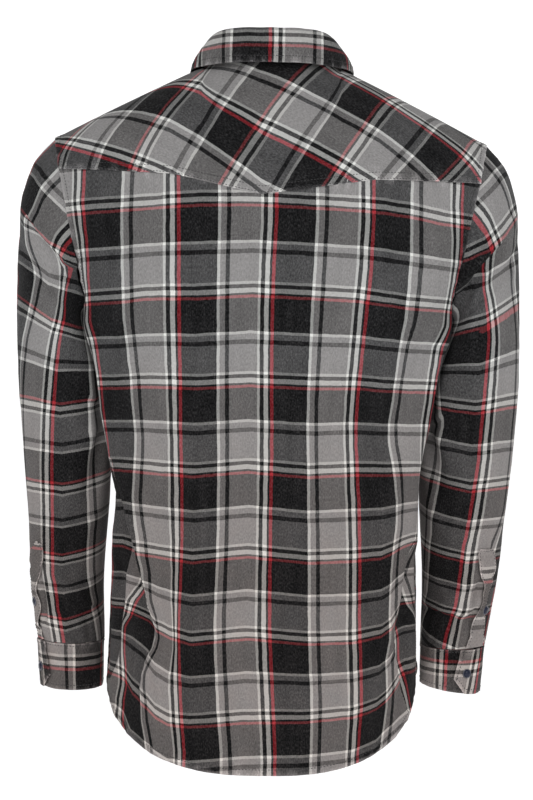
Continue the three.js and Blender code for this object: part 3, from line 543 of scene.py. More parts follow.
class Cut:
    """A cut piece as a grid of points, rows down and columns across, with its place in the cloth."""

    def __init__(self, points, cloth, inside=(0, 0, -400), wrapped=False, seen=None, brown=0.0):
        self.points = np.array(points, float)
        self.worn = np.zeros(self.points.shape[:2])
        self.browned = brown + np.clip((-300 - self.points[..., 2]) / 500, 0, 0.5)
        self.cloth = np.array(cloth, float)
        self.seen = self.cloth if seen is None else np.array(seen, float)
        self.inside = np.array(inside, float)
        self.wrapped = wrapped

    def normals(self):
        down = np.gradient(self.points, axis=0)
        across = np.gradient(self.points, axis=1)
        if self.wrapped:
            across[:, 0] = across[:, -1] = (across[:, 0] + across[:, -1]) / 2
        normal = np.cross(across, down)
        normal /= np.linalg.norm(normal, axis=-1, keepdims=True) + 1e-9
        away = self.points - self.inside
        away[..., 2] *= 0.15
        return normal * np.sign((normal * away).sum())

    def raise_by(self, height):
        self.points += self.normals() * np.asarray(height)[..., None]

    def crease(self, folds):
        """Soft ridges and troughs on lines across the face. side narrows a fold on its right."""
        a, b = self.seen[..., 0], self.seen[..., 1]
        height = np.zeros_like(a)
        for a0, b0, a1, b1, width, rise, side in zip(*folds.values()):
            da, db = a1 - a0, b1 - b0
            long = math.hypot(da, db)
            t = ((a - a0) * da + (b - b0) * db) / long**2
            inner = np.clip(t, 0, 1)
            off = ((a - a0) * db - (b - b0) * da) / long + 0.05 * long * np.sin(math.pi * inner)
            past = (t - inner) * long
            fade = np.sin(math.pi * (inner * 0.86 + 0.07)) ** 0.8
            narrow = np.where(off > 0, side, 1)
            height += rise * fade * np.exp(-((off / narrow) ** 2 + past**2) / width**2)
        self.raise_by(height * self.held())

    def roughen(self, seed, coarse=0.9, fine=0.28):
        a, b = self.seen[..., 0], self.seen[..., 1]
        height = coarse * ripple(a, b * 0.6, 42, seed) + fine * ripple(a, b, 13, seed + 1)
        self.raise_by(height * self.held())

    def held(self):
        """A seam that closes a piece on itself holds its cloth still."""
        columns = np.arange(self.points.shape[1])
        if not self.wrapped:
            return np.ones(len(columns))
        return np.clip(np.minimum(columns, columns[::-1]) / 6, 0, 1)

    def from_edge(self, edge):
        """How far each point lies from one edge, and how far along it."""
        flip = edge in ("bottom", "right")
        grid = self.points.transpose(1, 0, 2) if edge in ("left", "right") else self.points
        grid = grid[::-1] if flip else grid
        inward = lengths(grid, 0)
        along = np.broadcast_to(lengths(grid[:1], 1), inward.shape)
        inward, along = (v[::-1] if flip else v for v in (inward, along))
        return (inward.T, along.T) if edge in ("left", "right") else (inward, along)

    def sew(self, edge, reach=8, hem=0.0, seed=0, until=None):
        """Puckers the cloth at a seam, and thickens a turned-in hem."""
        inward, along = self.from_edge(edge)
        pull = 0.8 * ripple(along * 1.0, inward * 0.3, 5.5, 90 + seed) * np.exp(-((inward / reach) ** 2))
        height = pull + hem * np.clip((reach - inward) / 1.5, 0, 1)
        worn = np.clip(pull * 1.6, 0, 1) + 0.7 * np.exp(-((inward / 1.6) ** 2))
        if until is not None:
            height, worn = height * until, worn * until
        self.worn += worn
        self.raise_by(height)

    def stitch_line(self, edge, distance, first=0.0, last=1.0):
        """A line of stitches at one distance inside an edge."""
        inward = self.from_edge(edge)[0]
        grid = inward.T if edge in ("left", "right") else inward
        count = grid.shape[1]
        columns = np.arange(int(first * (count - 1)), int(last * (count - 1)) + 1)
        rows = np.arange(grid.shape[0])
        near = np.array([np.interp(distance, *((grid[:, k], rows) if grid[0, k] < grid[-1, k]
                                               else (grid[::-1, k], rows[::-1]))) for k in columns])
        return (columns, near) if edge in ("left", "right") else (near, columns)

    def place(self, row, column):
        row, column = np.broadcast_arrays(np.asarray(row, float), np.asarray(column, float))
        i = np.clip(row.astype(int), 0, self.points.shape[0] - 2)
        j = np.clip(column.astype(int), 0, self.points.shape[1] - 2)
        s, t = (row - i)[..., None], (column - j)[..., None]
        normals = self.normals()
        spots = []
        for grid in (self.points, normals):
            spots.append((grid[i, j] * (1 - s) + grid[i + 1, j] * s) * (1 - t)
                         + (grid[i, j + 1] * (1 - s) + grid[i + 1, j + 1] * s) * t)
        return spots


def lengths(points, axis):
    steps = np.linalg.norm(np.diff(points, axis=axis), axis=-1)
    steps = np.insert(steps, 0, 0, axis)
    return np.cumsum(steps, axis)


# Stitches are gathered while the pieces are made, and sewn in one thread object at the end.
STITCH = {"length": 2.6, "step": 3.5, "width": 0.75, "lift": 0.2}
sewn = []


def topstitch(cut, edge, distance, first=0.0, last=1.0):
    row, column = cut.stitch_line(edge, distance, first, last)
    spots, normals = cut.place(row, column)
    run = lengths(spots[None], 1)[0]
    count = int(run[-1] / STITCH["step"])
    middles = (np.arange(count) + 0.5) * STITCH["step"]
    for middle in middles:
        ends = [np.array([np.interp(middle + half, run, spots[:, k]) for k in range(3)])
                for half in (-STITCH["length"] / 2, STITCH["length"] / 2)]
        normal = np.array([np.interp(middle, run, normals[:, k]) for k in range(3)])
        sewn.append((*ends, normal / (np.linalg.norm(normal) + 1e-9)))


def to_object(name, cuts, thickness):
    points, cloth, faces = [], [], []
    worn = np.concatenate([cut.worn.ravel() for cut in cuts])
    browned = np.concatenate([cut.browned.ravel() for cut in cuts])
    for cut in cuts:
        rows, columns = cut.points.shape[:2]
        base = sum(len(p) for p in points)
        points.append(cut.points.reshape(-1, 3))
        cloth.append(cut.cloth.reshape(-1, 2))
        index = base + np.arange(rows * columns).reshape(rows, columns)
        quads = np.stack([index[:-1, :-1], index[:-1, 1:], index[1:, 1:], index[1:, :-1]], -1).reshape(-1, 4)
        a, b, c = (cut.points.reshape(-1, 3)[quads[:, k] - base] for k in (0, 1, 3))
        normal = np.cross(b - a, c - a)
        away = a - cut.inside
        away[:, 2] *= 0.15
        if (normal * away).sum() < 0:
            quads = quads[:, ::-1]
        faces.append(quads)
    points, cloth, faces = np.concatenate(points) * MM, np.concatenate(cloth) * MM, np.concatenate(faces)
    mesh = bpy.data.meshes.new(name)
    mesh.from_pydata(points.tolist(), [], faces.tolist())
    layer = mesh.uv_layers.new(name="cloth")
    corner = np.empty(len(mesh.loops), int)
    mesh.loops.foreach_get("vertex_index", corner)
    layer.data.foreach_set("uv", cloth[corner].ravel())
    for label, values in (("worn", worn), ("browned", browned)):
        mesh.attributes.new(label, "FLOAT", "POINT").data.foreach_set("value", values)
    shape = bmesh.new()
    shape.from_mesh(mesh)
    bmesh.ops.remove_doubles(shape, verts=shape.verts, dist=0.00004)
    shape.to_mesh(mesh)
    shape.free()
    thing = bpy.data.objects.new(name, mesh)
    bpy.context.collection.objects.link(thing)
    wall = thing.modifiers.new("wall", "SOLIDIFY")
    wall.thickness = thickness * MM
    wall.offset = -1
    bpy.context.view_layer.update()
    done = bpy.data.meshes.new_from_object(thing.evaluated_get(bpy.context.evaluated_depsgraph_get()))
    thing.modifiers.clear()
    thing.data = done
    done.name = name
    done.polygons.foreach_set("use_smooth", np.ones(len(done.polygons), bool))
    done.set_sharp_from_angle(angle=math.radians(48))
    done.materials.clear()
    done.materials.append(flannel)
    return thing


def rows_of_trunk(seam, face, share, start, side):
    """Rows of points from the yoke's seam past the armpit to the hem."""
    turns = np.linspace(YOKE_TURN, 180, 44)
    down = (armhole(face, turns)[2] - SEAM_SIDE) / (ARMPIT[2] - SEAM_SIDE)
    upper = seam + (ARMPIT[2] - seam) * down[:, None]
    fall = np.linspace(0, 1, 136)[1:, None]
    lower = ARMPIT[2] + (hem_height(face, share) - ARMPIT[2]) * fall
    z = np.concatenate([upper, lower])
    points, length = on_trunk(face, np.abs(share), z, start)
    points[..., 0] *= side
    return points, length * side


left_share = np.interp(np.linspace(0, 1, 126), [0, 0.36, 0.8, 1], [0, 0.48, 0.83, 1])
share = np.concatenate([-left_share[:0:-1], left_share])
seam = back_seam(share)
halves = [rows_of_trunk(back_seam(s * side), 1, s, 0.0, side)
          for side, s in ((-1, left_share[::-1][:-1]), (1, left_share))]
points = np.concatenate([half[0] for half in halves], 1)
length = np.concatenate([half[1] for half in halves], 1)


def back_cloth(points, length):
    """Which place of the cloth lies at each point of the back."""
    heights = BACK_WARP["z"]
    x, y = half_section(1, heights)
    run = np.insert(np.cumsum(np.hypot(np.diff(x), np.diff(y)), axis=-1), 0, 0, -1)
    knots = {name: np.array([math.copysign(np.interp(abs(at), line[:line.argmax() + 1],
            far[:line.argmax() + 1]), at)
                             for at, line, far in zip(BACK_WARP[name], x, run)]) for name in WARP_LINES}
    for name, inner in (("d", "w"), ("y", "x")):
        past = WARP_LINES[name] - WARP_LINES[inner]
        knots[name] = np.where(BACK_WARP[name] == 0, knots[inner] + past, knots[name])
    z, at = points[..., 2], -length
    stops = [np.interp(-z, -heights, knots[name]) for name in WARP_LINES]
    values = list(WARP_LINES.values())
    u = values[0] + at - stops[0]
    for i in range(len(stops) - 1):
        inside = values[i] + (values[i + 1] - values[i]) * (at - stops[i]) / (stops[i + 1] - stops[i])
        u = np.where(at > stops[i], inside, u)
    u = np.where(at > stops[-1], values[-1] + at - stops[-1], u)
    sags = [np.interp(-points[..., 0], BACK_SAG["across"], BACK_SAG[name])
            for name in BACK_SAG if name != "across"]
    level = np.interp(-z, -BACK_DROP["z"][1:8], np.arange(7))
    low = np.clip(level.astype(int), 0, 5)
    sag = (np.choose(low, sags[:6]) * (1 - (level - low)) + np.choose(low + 1, sags) * (level - low))
    return np.stack([u, curve(BACK_DROP, "z", "cloth", z) - 1.08 * sag], -1)


def tuck(cut, rows, outward):
    """Hangs the cloth over itself: past the fold's edge it lies deeper, and some of it is hidden."""
    a, z = cut.seen[..., 0], cut.seen[..., 1]
    edge, hidden, depth = (np.interp(-z, -rows["z"], rows[name], left=0, right=0)
                           for name in ("edge", "hidden", "depth"))
    behind = (z < rows["z"].max()) & (z > rows["z"].min())
    off = np.where(behind, (a - edge) * outward, -99)
    cut.cloth[..., 0] += outward * hidden * np.clip(off / 2.2 + 0.5, 0, 1)
    lower = depth * np.clip(off / 2.6 + 0.5, 0, 1) * np.exp(-((np.maximum(off, 0) / 17) ** 2))
    cut.raise_by(depth * 0.28 * np.exp(-(((off + 4) / 5) ** 2)) - lower)


back = Cut(with_trunk_folds(points), back_cloth(points, length),
           seen=np.stack([-points[..., 0], points[..., 2]], -1))
BACK_CREASES = table(
    "across z to_across to_z width rise side",
    (-96, -440, -92, -600, 9, -1.6, 1),
    (-104, -600, -100, -735, 9, -2.2, 1),
    (118, -500, 112, -600, 9, -1.6, 1),
    (118, -620, 116, -735, 9, -2.2, 1),
    (-60, -240, -24, -420, 20, -1.2, 1),
    (70, -220, 42, -400, 20, -1.2, 1),
    (-12, -440, -8, -640, 16, -1.8, 1),
    (50, -470, 60, -640, 14, 1.4, 1),
    (-52, -480, -62, -640, 14, 1.4, 1),
    (-150, -300, -120, -420, 14, -1.6, 1),
    (150, -300, 124, -430, 14, -1.6, 1),
)
for name, outward in (("left", -1), ("left_seam", -1), ("right", 1)):
    tuck(back, SIDE_FOLDS[name], outward)
back.crease(BACK_CREASES)
back.roughen(11)
back.sew("bottom", reach=8, hem=0.7, seed=1)
back.sew("top", reach=9, seed=2)
above_armpit = np.clip((back.points[..., 2] - ARMPIT[2]) / 20, 0, 1)
for edge in ("left", "right"):
    back.sew(edge, reach=8, hem=0.7, seed=3, until=above_armpit)
    topstitch(back, edge, 7, last=0.235)
    topstitch(back, edge, 4, first=0.25)
topstitch(back, "bottom", 6.5)
back_panel = to_object("back_panel", [back], CLOTH)
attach(back_panel, "root")
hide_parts("back")


# The yoke: one piece on the bias over both shoulders. Behind, it ends in a shallow point, and in
# front in a point on each side. Its lower edges are turned under and sewn down with two rows.

NECK = {"side": 75, 1: 60, -1: 76, "rise": 3, "slope": 0.79}
NECK_STEEP = {1: 58, -1: 46}
FRONT_POINT = {"share": 0.5, "drop": 26, "spread": 0.45}
FRONT_BAND = {"width": 36, "left": 19, "under_edge": 14, "over_edge": 17, "lift": 2.3}
YOKE_PROUD = 0.9
YOKE_OVERLAP = 4


def lapped_edge(rows):
    """The first row of points again, moved out past the seam by the overlap."""
    step = rows[1] - rows[0]
    return rows[0] - step / np.linalg.norm(step, axis=-1, keepdims=True) * YOKE_OVERLAP


# The bias check. Each row gives a place of the cloth from the place on the yoke: to the right of the
# centre line as seen from behind, and up from the seam. It leans by 31 degrees, and sags and
# stretches a little as it goes over the shoulders.
BIAS_CHECK = table(
    "start across up across_twice across_up",
    (47.2, -0.493, -0.804, -0.00054, 0.0005),
    (-47.8, -0.874, 0.499, 0.00041, 0.00102),
)


def front_seam(share):
    pointed = np.clip(1 - np.abs(share - FRONT_POINT["share"]) / FRONT_POINT["spread"], 0, 1)
    return SEAM_SIDE - 4 * (1 - share) - FRONT_POINT["drop"] * pointed


def neck(turn):
    turn = np.radians(turn)
    ahead = np.cos(turn) < 0
    y = np.where(ahead, NECK[-1], NECK[1]) * np.cos(turn)
    z = np.where(ahead, NECK["slope"] * y, NECK["rise"] * np.cos(turn) ** 2)
    return np.stack([NECK["side"] * np.sin(turn), y, z], -1)


def ridge(across, face):
    turn = np.degrees(np.arcsin(np.clip(across / NECK["side"], 0, 1)))
    out = np.maximum(across - NECK["side"], 0) / (SHOULDER[0] - NECK["side"])
    shoulder = np.stack([across, across * 0, SHOULDER[1] * out**1.04], -1)
    return np.where((across <= NECK["side"])[..., None], neck(turn if face > 0 else 180 - turn), shoulder)


def yoke_half(face, side, start, columns, rows):
    """Half of the yoke's face on one side, from the seam (row 0) up to the ridge."""
    inner = NECK["side"] * np.sin(np.radians(np.linspace(0, 90, columns // 3 + 1)))
    foot = np.concatenate([np.linspace(0, NECK["side"], columns // 3 + 1)[:-1],
                           np.linspace(NECK["side"], SHOULDER[0], columns - columns // 3)])
    across = np.concatenate([inner[:-1], foot[columns // 3:]])
    if start != 0:
        keep = foot > start + 3
        foot = np.concatenate([[start], foot[keep]])
        across = np.concatenate([[abs(start)], across[keep]])
    last_turn = YOKE_TURN
    if face > 0 and side > 0:
        down = (SEAM_SIDE + SEAM_LIFT - SHOULDER[1]) / (ARMPIT[2] - SHOULDER[1])
        last_turn = math.degrees(math.acos(1 - 2 * down))
    wanted = foot * armhole(face, last_turn)[0] / SHOULDER[0]
    fine = np.linspace(0, 1, 241)
    line = on_trunk(face, fine, np.full(241, SEAM_SIDE), start)[0][:, 0]
    share = np.interp(wanted, line, fine)
    share[0], share[-1] = 0, 1
    seam = back_seam(share * side) if face > 0 else front_seam(share)
    low = on_trunk(face, share, seam, start)[0]
    below = on_trunk(face, share, seam - 6, start)[0]
    top = ridge(np.abs(across), face)
    top[:, 0] *= np.sign(across + 1e-9)
    chord = np.linalg.norm(low - top, axis=-1, keepdims=True)
    rise = (low - below) / np.linalg.norm(low - below, axis=-1, keepdims=True)
    steep = np.radians(NECK_STEEP[face]) * np.sqrt(1 - np.minimum(np.abs(across) / NECK["side"], 1) ** 2)
    over = np.stack([0 * steep, -face * np.cos(steep), np.sin(steep)], -1)
    a, b = low + rise * chord * 0.42, top - over * chord * 0.42
    t = np.linspace(0, 1, rows)[:, None, None] ** 1.3
    points = low * (1 - t) ** 3 + 3 * a * t * (1 - t) ** 2 + 3 * b * t**2 * (1 - t) + top * t**3
    hole = np.stack(armhole(face, last_turn * (1 - t[:, 0, 0])), -1)
    near = np.clip((np.abs(across) - 160) / (SHOULDER[0] - 160), 0, 1) ** 2
    points += (hole - points[:, -1])[:, None] * near[None, :, None]
    points[..., 0] *= side
    return points


def biased(points, middle, seam_row):
    """Cloth places on the bias, by lengths over the surface from the centre line and seam."""
    across = lengths(points, 1)
    across = across[:, middle:middle + 1] - across
    up = lengths(points, 0)
    up = up - up[seam_row:seam_row + 1]
    return across, up


def on_bias(across, up):
    return np.stack([start + lean * across + rise * up + bow * across**2 + twist * across * up
                     for start, lean, rise, bow, twist in zip(*BIAS_CHECK.values())], -1)


left, right = (yoke_half(1, side, 0, 76, 44) for side in (1, -1))
points = np.concatenate([right[:, :0:-1], left], 1)
middle = left.shape[1] - 1
# The edge reaches a little way down over the back panel.
edge = lapped_edge(points)
points = np.concatenate([edge[None], points], 0)
across, up = biased(points, middle, 1)
up = up + SEAM_LIFT * np.clip(points[:1, :, 0] / 196 * 1.15 - 0.15, 0, 1)
ridge_place = [np.interp(np.arange(-236, 237), points[-1, :, 0], v[-1]) for v in (across, up)]
yoke_back = Cut(points, on_bias(across, up), inside=(0, 0, -200),
                seen=np.stack([-points[..., 0], points[..., 2]], -1))
yoke_fronts = []
for side, start in ((1, FRONT_BAND["over_edge"]), (-1, -FRONT_BAND["under_edge"])):
    half = yoke_half(-1, side, start, 52, 44)
    edge = lapped_edge(half)
    half = np.concatenate([edge[None], half], 0)
    over = lengths(half[::-1], 0)[::-1]
    over_across, over_up = (np.interp(half[-1, :, 0], np.arange(-236, 237), v) for v in ridge_place)
    yoke_fronts.append(Cut(half, on_bias(over_across + 0 * over, over_up + over), inside=(0, 0, -200)))

for piece in (yoke_back, *yoke_fronts):
    piece.raise_by(np.full(piece.points.shape[:2], YOKE_PROUD))
    piece.sew("top", reach=11, hem=0.4, seed=7)
    topstitch(piece, "top", 1.8)
    topstitch(piece, "top", 8.5)
for piece, edges in ((yoke_back, ("left", "right")), (yoke_fronts[0], ("right",)),
                     (yoke_fronts[1], ("right",))):
    for edge in edges:
        piece.sew(edge, reach=8, hem=0.5, seed=8)
        topstitch(piece, edge, 7)
yoke_piece = to_object("yoke_piece", [yoke_back, *yoke_fronts], CLOTH)
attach(yoke_piece, "root")
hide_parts("yoke")


# The fronts: a left and a right panel on the straight grain, from the yoke's front points to the
# tail. The left one laps over the right one under the strip of the closing.

FRONT_DROP = table("z cloth", (-60, -97), (-156.7, 0), (-567.6, 394), (-646, 492.5), (-765, 625))
FRONT_CHECK = 36

fronts = []
for side, start in ((1, FRONT_BAND["over_edge"]), (-1, -FRONT_BAND["under_edge"])):
    share = np.linspace(0, 1, 76)
    points, length = rows_of_trunk(front_seam(share), -1, share, start, 1)
    points[..., 0] *= side
    at_side = np.interp(600, -points[:, -1, 2], length[:, -1])
    drop = curve(FRONT_DROP, "z", "cloth", points[..., 2])
    cloth = np.stack([(length - at_side) * side + FRONT_CHECK, drop], -1)
    panel = Cut(with_trunk_folds(points), cloth, seen=np.stack([points[..., 0], points[..., 2]], -1))
    panel.roughen(21 + side)
    panel.sew("bottom", reach=8, hem=0.7, seed=4)
    topstitch(panel, "bottom", 6.5)
    topstitch(panel, "right", 7, last=0.235)
    fronts.append(panel)
for name, node, panel, width, area in (("front_panel_left", "front_left", fronts[0], 0.246, 0.126),
                                       ("front_panel_right", "front_right", fronts[1], 0.278, 0.144)):
    thing = to_object(name, [panel], CLOTH)
    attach(thing, "root")
    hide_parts(node)


# The sleeves: one piece each, closed by a seam under the arm and set into the armhole. The cloth
# folds over itself behind the upper arm and hangs in soft creases at the elbow and above the cuff.

SLEEVE = table(
    "out_x out_z in_x in_z mid_y half_depth back_drop",
    (250, -93, 199, -271, -3, 57, 0),
    (261, -108, 201, -275, -5, 58, 0),
    (270, -134, 201, -280, -8, 59, 0),
    (275, -168, 199, -287, -11, 60, 0),
    (277, -208, 194, -297, -14, 60, 0),
    (278, -252, 187, -310, -18, 59, 0),
    (278, -300, 178, -332, -22, 58, 0),
    (277, -350, 171, -363, -27, 57, 0),
    (273, -400, 169, -404, -32, 55, 0),
    (269.5, -448, 171, -450, -37, 52, 0),
    (265.5, -495, 174, -496, -41, 49, 0),
    (262, -537, 177, -538, -43, 47, 1),
    (258, -572, 178, -572, -43, 45, 2),
    (253, -603, 177, -603, -42, 42, 3),
    (248.5, -630, 176.5, -630, -41, 40, 4),
)
SLEEVE["order"] = np.arange(1.0, 16.0)
RINGS = 15
# Folds of the sleeves. turn: degrees from the outer line towards the back.
SLEEVE_FOLDS = table(
    "start start_turn end end_turn width height",
    (-150, 20, -236, 128, 17, 7),
    (-186, 12, -268, 120, 13, -6),
    (-330, 150, -480, 122, 15, -5),
    (-360, 175, -430, 100, 13, 4),
    (-400, 250, -455, 190, 13, -4),
    (-548, 60, -600, 140, 12, 3.5),
)
# warp: where the red stripe lies, in degrees from the outer line to the back. weft: the heights of
# the red lines on it. tuck: the edge of the fold behind the upper arm, by turn, height and slope.
ARMS = {
    "left": {
        "side": 1, "slit": 26, "cuff_end": 47, "cuff_rise": 0, "lean": 0, "elbow": -2.5, "weft_runs": -1,
        "warp": table("z turn", (-90, 92), (-185, 96), (-205, 106), (-226, 119), (-241, 122), (-272, 110),
                      (-301, 95), (-331, 86), (-363, 80), (-395, 75), (-455, 72), (-548, 71), (-595, 75),
                      (-632, 80)),
        "weft": table("z cloth", (-276.6, 0), (-371, 98.5), (-459, 197), (-537, 295.5), (-608.3, 394),
                      (-640, 430)),
        "fold": table("turn z", (40, -162), (60, -178), (82, -198), (96, -207), (108, -217.5), (122, -224),
                      (134, -232), (150, -241)),
        "cap": (101.5, 1.2, 1.2), "slack": 0,
    },
    "right": {
        "side": -1, "slit": 52, "cuff_end": 84, "cuff_rise": 9, "lean": -1, "elbow": 3.5, "weft_runs": 1,
        "warp": table("z turn", (-90, 78), (-160, 78), (-194, 83), (-222, 92), (-237, 92), (-268, 83),
                      (-298, 77), (-419, 77), (-451, 80), (-499, 86), (-529, 92), (-561, 95), (-589, 98),
                      (-605, 104), (-632, 109)),
        "weft": table("z cloth", (-282, 0), (-374, 98.5), (-460, 197), (-538, 295.5), (-600, 394),
                (-640, 440)),
        "fold": table("turn z", (50, -176), (70, -193), (78, -199), (98, -215), (120, -233), (136, -243),
                      (150, -250)),
        "cap": (81, 1.2, 0.72), "slack": 0.3,
        "taken_in": table("z cloth", (-480, 0), (-517, 15), (-545, 22), (-570, 43), (-632, 45)),
    },
}


def ring(name, order):
    return curve(SLEEVE, "order", name, order)


def sleeve_point(order, turn, arm):
    order, degrees = np.broadcast_arrays(np.asarray(order, float), np.asarray(turn, float))
    turn = np.radians(degrees)
    low = np.maximum(order, 1)
    bent = np.sin(math.pi * np.clip((low - 4) / (RINGS - 4), 0, 1)) ** 2
    lean = arm["lean"] * np.clip(low / 3, 0, 1)
    out_x = ring("out_x", low) + arm["elbow"] * bent
    mid_x, half_x = (out_x + ring("in_x", low)) / 2, (out_x - ring("in_x", low)) / 2
    out_z, in_z = ring("out_z", low), ring("in_z", low)
    x = mid_x + half_x * np.cos(turn)
    y = ring("mid_y", low) + ring("half_depth", low) * np.sin(turn)
    z = (out_z + in_z) / 2 + (out_z - in_z) / 2 * np.cos(turn) - ring("back_drop", low) * np.sin(turn)
    away = np.stack([x - mid_x, y - ring("mid_y", low)], -1)
    away /= np.linalg.norm(away, axis=-1, keepdims=True)
    push = bump(SLEEVE_FOLDS, z, turn, ring("half_depth", low))
    push *= np.clip((low - 0.5) / 2, 0, 1) * np.clip((RINGS - low) / 1.5, 0, 1)
    p = np.stack([x + lean + away[..., 0] * push, y + away[..., 1] * push, z], -1)
    sewn = np.clip(order, 0, 1)[..., None]
    behind = np.sin(turn) > 0
    hole = np.where(behind[..., None], np.stack(armhole(1, degrees), -1), np.stack(armhole(-1, degrees), -1))
    hole[..., 1] = ARMPIT[1] * (1 - np.cos(turn)) / 2 + np.where(
        behind, ARMHOLE_DEPTH[1], ARMHOLE_DEPTH[-1]) * np.sin(turn)
    hole[..., 0] += 0.6
    return hole * (1 - sewn) + p * sewn


def on_side(arm, points):
    return points * np.array([arm["side"], 1, 1])


def make_sleeve(name, arm):
    turns = np.linspace(-172, 188, 181)[None, :]
    orders = np.concatenate([np.linspace(0, 1, 9)[:-1], np.linspace(1, RINGS, 165)])[:, None]
    points = sleeve_point(orders, turns, arm)
    radius = ring("half_depth", np.maximum(orders, 1)) * 0.96
    red = curve(arm["warp"], "z", "turn", points[..., 2])
    u = np.radians(turns - red) * radius
    at_red = int(np.argmin(np.abs(turns[0] - 80)))
    datum = int(np.argmin(np.abs(orders[:, 0] - 6)))
    v = np.repeat(curve(arm["weft"], "z", "cloth", points[:, at_red, 2])[:, None], points.shape[1], 1)
    run = lengths(points, 0)
    v[:datum + 1] = v[datum] + (run[:datum + 1] - run[datum])
    v = v + 5 * np.cos(np.radians(turns)) * np.clip((orders - 5) / 3, 0, 1)
    v = v + 0.32 * np.maximum(turns - 86, 0)
    above = points[..., 2] - np.interp(turns, arm["fold"]["turn"], arm["fold"]["z"])
    sharp = np.clip((turns - 35) / 20, 0, 1)
    over = sharp * np.clip(above / 2.6 + 0.5, 0, 1) + (1 - sharp) * np.clip((points[..., 2] + 230) / 80, 0, 1)
    v = v - 17 * np.clip((turns - 35) / 70, 0, 1) * np.clip((185 - turns) / 40, 0, 1) * over
    near_armpit = np.clip((points[..., 2] + 390) / 60, 0, 1) * np.clip((turns - red) / 20, 0, 1)
    u = u * (1 - arm["slack"] * near_armpit * (1 - over))
    if "cap" in arm:
        red, outer, inner = arm["cap"]
        u = u * (1 - over) + (turns - red) * np.where(turns < red, outer, inner) * over
    if "taken_in" in arm:
        past_slit = np.clip((arm["slit"] - turns) / 8 + 0.5, 0, 1)
        u = u - curve(arm["taken_in"], "z", "cloth", points[..., 2]) * past_slit
    cloth = np.stack([u, v * arm["weft_runs"]], -1)
    seen = np.stack([turns + 0 * orders, points[..., 2]], -1)
    sleeve = Cut(on_side(arm, points), cloth, (arm["side"] * 225, -20, -350), wrapped=True, seen=seen)
    for edge, depth, reach, first, last in SLEEVE_TUCKS[name]:
        above = seen[..., 1] - np.interp(turns, edge["turn"], edge["z"])
        part = np.clip((turns - first) / 22, 0, 1) * np.clip((last - turns) / 22, 0, 1)
        sunk = np.clip(0.5 - above / 2.6, 0, 1) * np.exp(-((np.maximum(-above, 0) / reach) ** 2))
        sleeve.raise_by(part * depth * (0.35 * np.exp(-(((above - 5) / 7) ** 2)) - sunk))
    sleeve.crease(SLEEVE_CREASES[name])
    sleeve.roughen(31 + arm["side"])
    thing = to_object(f"sleeve_cloth_{name}", [sleeve], CLOTH)
    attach(thing, "root")
    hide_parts(f"sleeve_{name}")
    return sleeve


# Where the sleeves hang over themselves: the edge, how deep the cloth under it lies, how far down
# that reaches, and between which turns.
SLEEVE_TUCKS = {
    "left": [
        (ARMS["left"]["fold"], 7.5, 24, 42, 152),
        (table("turn z", (90, -352), (120, -362), (150, -374)), 2.5, 14, 84, 165),
        (table("turn z", (60, -604), (110, -596), (160, -590)), 2.2, 10, 56, 165),
    ],
    "right": [
        (ARMS["right"]["fold"], 8.5, 24, 52, 152),
        (table("turn z", (90, -365), (120, -376), (150, -392)), 2.5, 14, 84, 165),
        (table("turn z", (50, -588), (64, -592), (80, -597.4), (96, -597.4), (114, -594.5), (146, -588)),
         5.5, 16, 44, 172),
    ],
}
# Creases of the sleeves, by degrees from the outer line to the back, and height.
SLEEVE_CREASES = {
    "left": table(
        "turn z to_turn to_z width rise side",
        (60, -110, 100, -200, 16, -1.8, 1),
        (100, -150, 112, -215, 12, 1.8, 1),
        (150, -330, 128, -470, 11, -3.0, 1),
        (132, -320, 112, -450, 9, 2.4, 0.6),
        (95, -330, 88, -520, 14, 1.2, 1),
        (40, -280, 36, -440, 14, -1.3, 1),
        (150, -480, 70, -540, 10, 2.0, 0.5),
        (110, -540, 60, -590, 8, -2.0, 1),
        (140, -560, 70, -606, 8, 2.4, 0.5),
        (46, -562, 44, -612, 5, -6.0, 1),
        (90, -600, 84, -632, 6, 1.6, 1),
        (120, -596, 126, -632, 6, -1.6, 1),
        (-60, -160, -140, -250, 14, 3.0, 0.5),
        (-50, -400, -130, -460, 12, -2.4, 1),
        (-40, -440, -120, -500, 10, 2.2, 0.5),
        (-60, -560, -130, -600, 9, -2.0, 1),
    ),
    "right": table(
        "turn z to_turn to_z width rise side",
        (56, -110, 92, -190, 16, -1.8, 1),
        (96, -150, 110, -210, 12, 1.8, 1),
        (150, -330, 128, -470, 11, -3.0, 1),
        (130, -320, 112, -440, 9, 2.2, 0.6),
        (92, -330, 88, -520, 14, 1.2, 1),
        (36, -280, 34, -440, 14, -1.3, 1),
        (150, -470, 80, -530, 10, 2.2, 0.5),
        (60, -500, 120, -560, 9, -2.2, 1),
        (58, -556, 64, -588, 6, -6.0, 1),
        (140, -550, 76, -596, 8, 2.6, 0.5),
        (100, -590, 96, -632, 6, -2.0, 1),
        (76, -596, 72, -632, 6, 1.6, 1),
        (128, -600, 132, -632, 6, -1.6, 1),
        (-60, -160, -140, -250, 14, 3.0, 0.5),
        (-50, -400, -130, -460, 12, -2.4, 1),
        (-40, -440, -120, -500, 10, 2.2, 0.5),
        (-60, -560, -130, -600, 9, -2.0, 1),
    ),
}
sleeves = {name: make_sleeve(name, arm) for name, arm in ARMS.items()}


# The cuffs: straight bands round the wrist. The outer end laps over the inner one and has its lower
# corner cut off. Each is topstitched near every edge.

CUFF = {"height": 51, "gap": 1, "lap": 30, "slant": 5, "mitre": 15, "taper": 2.5, "snap_down": 0.56}


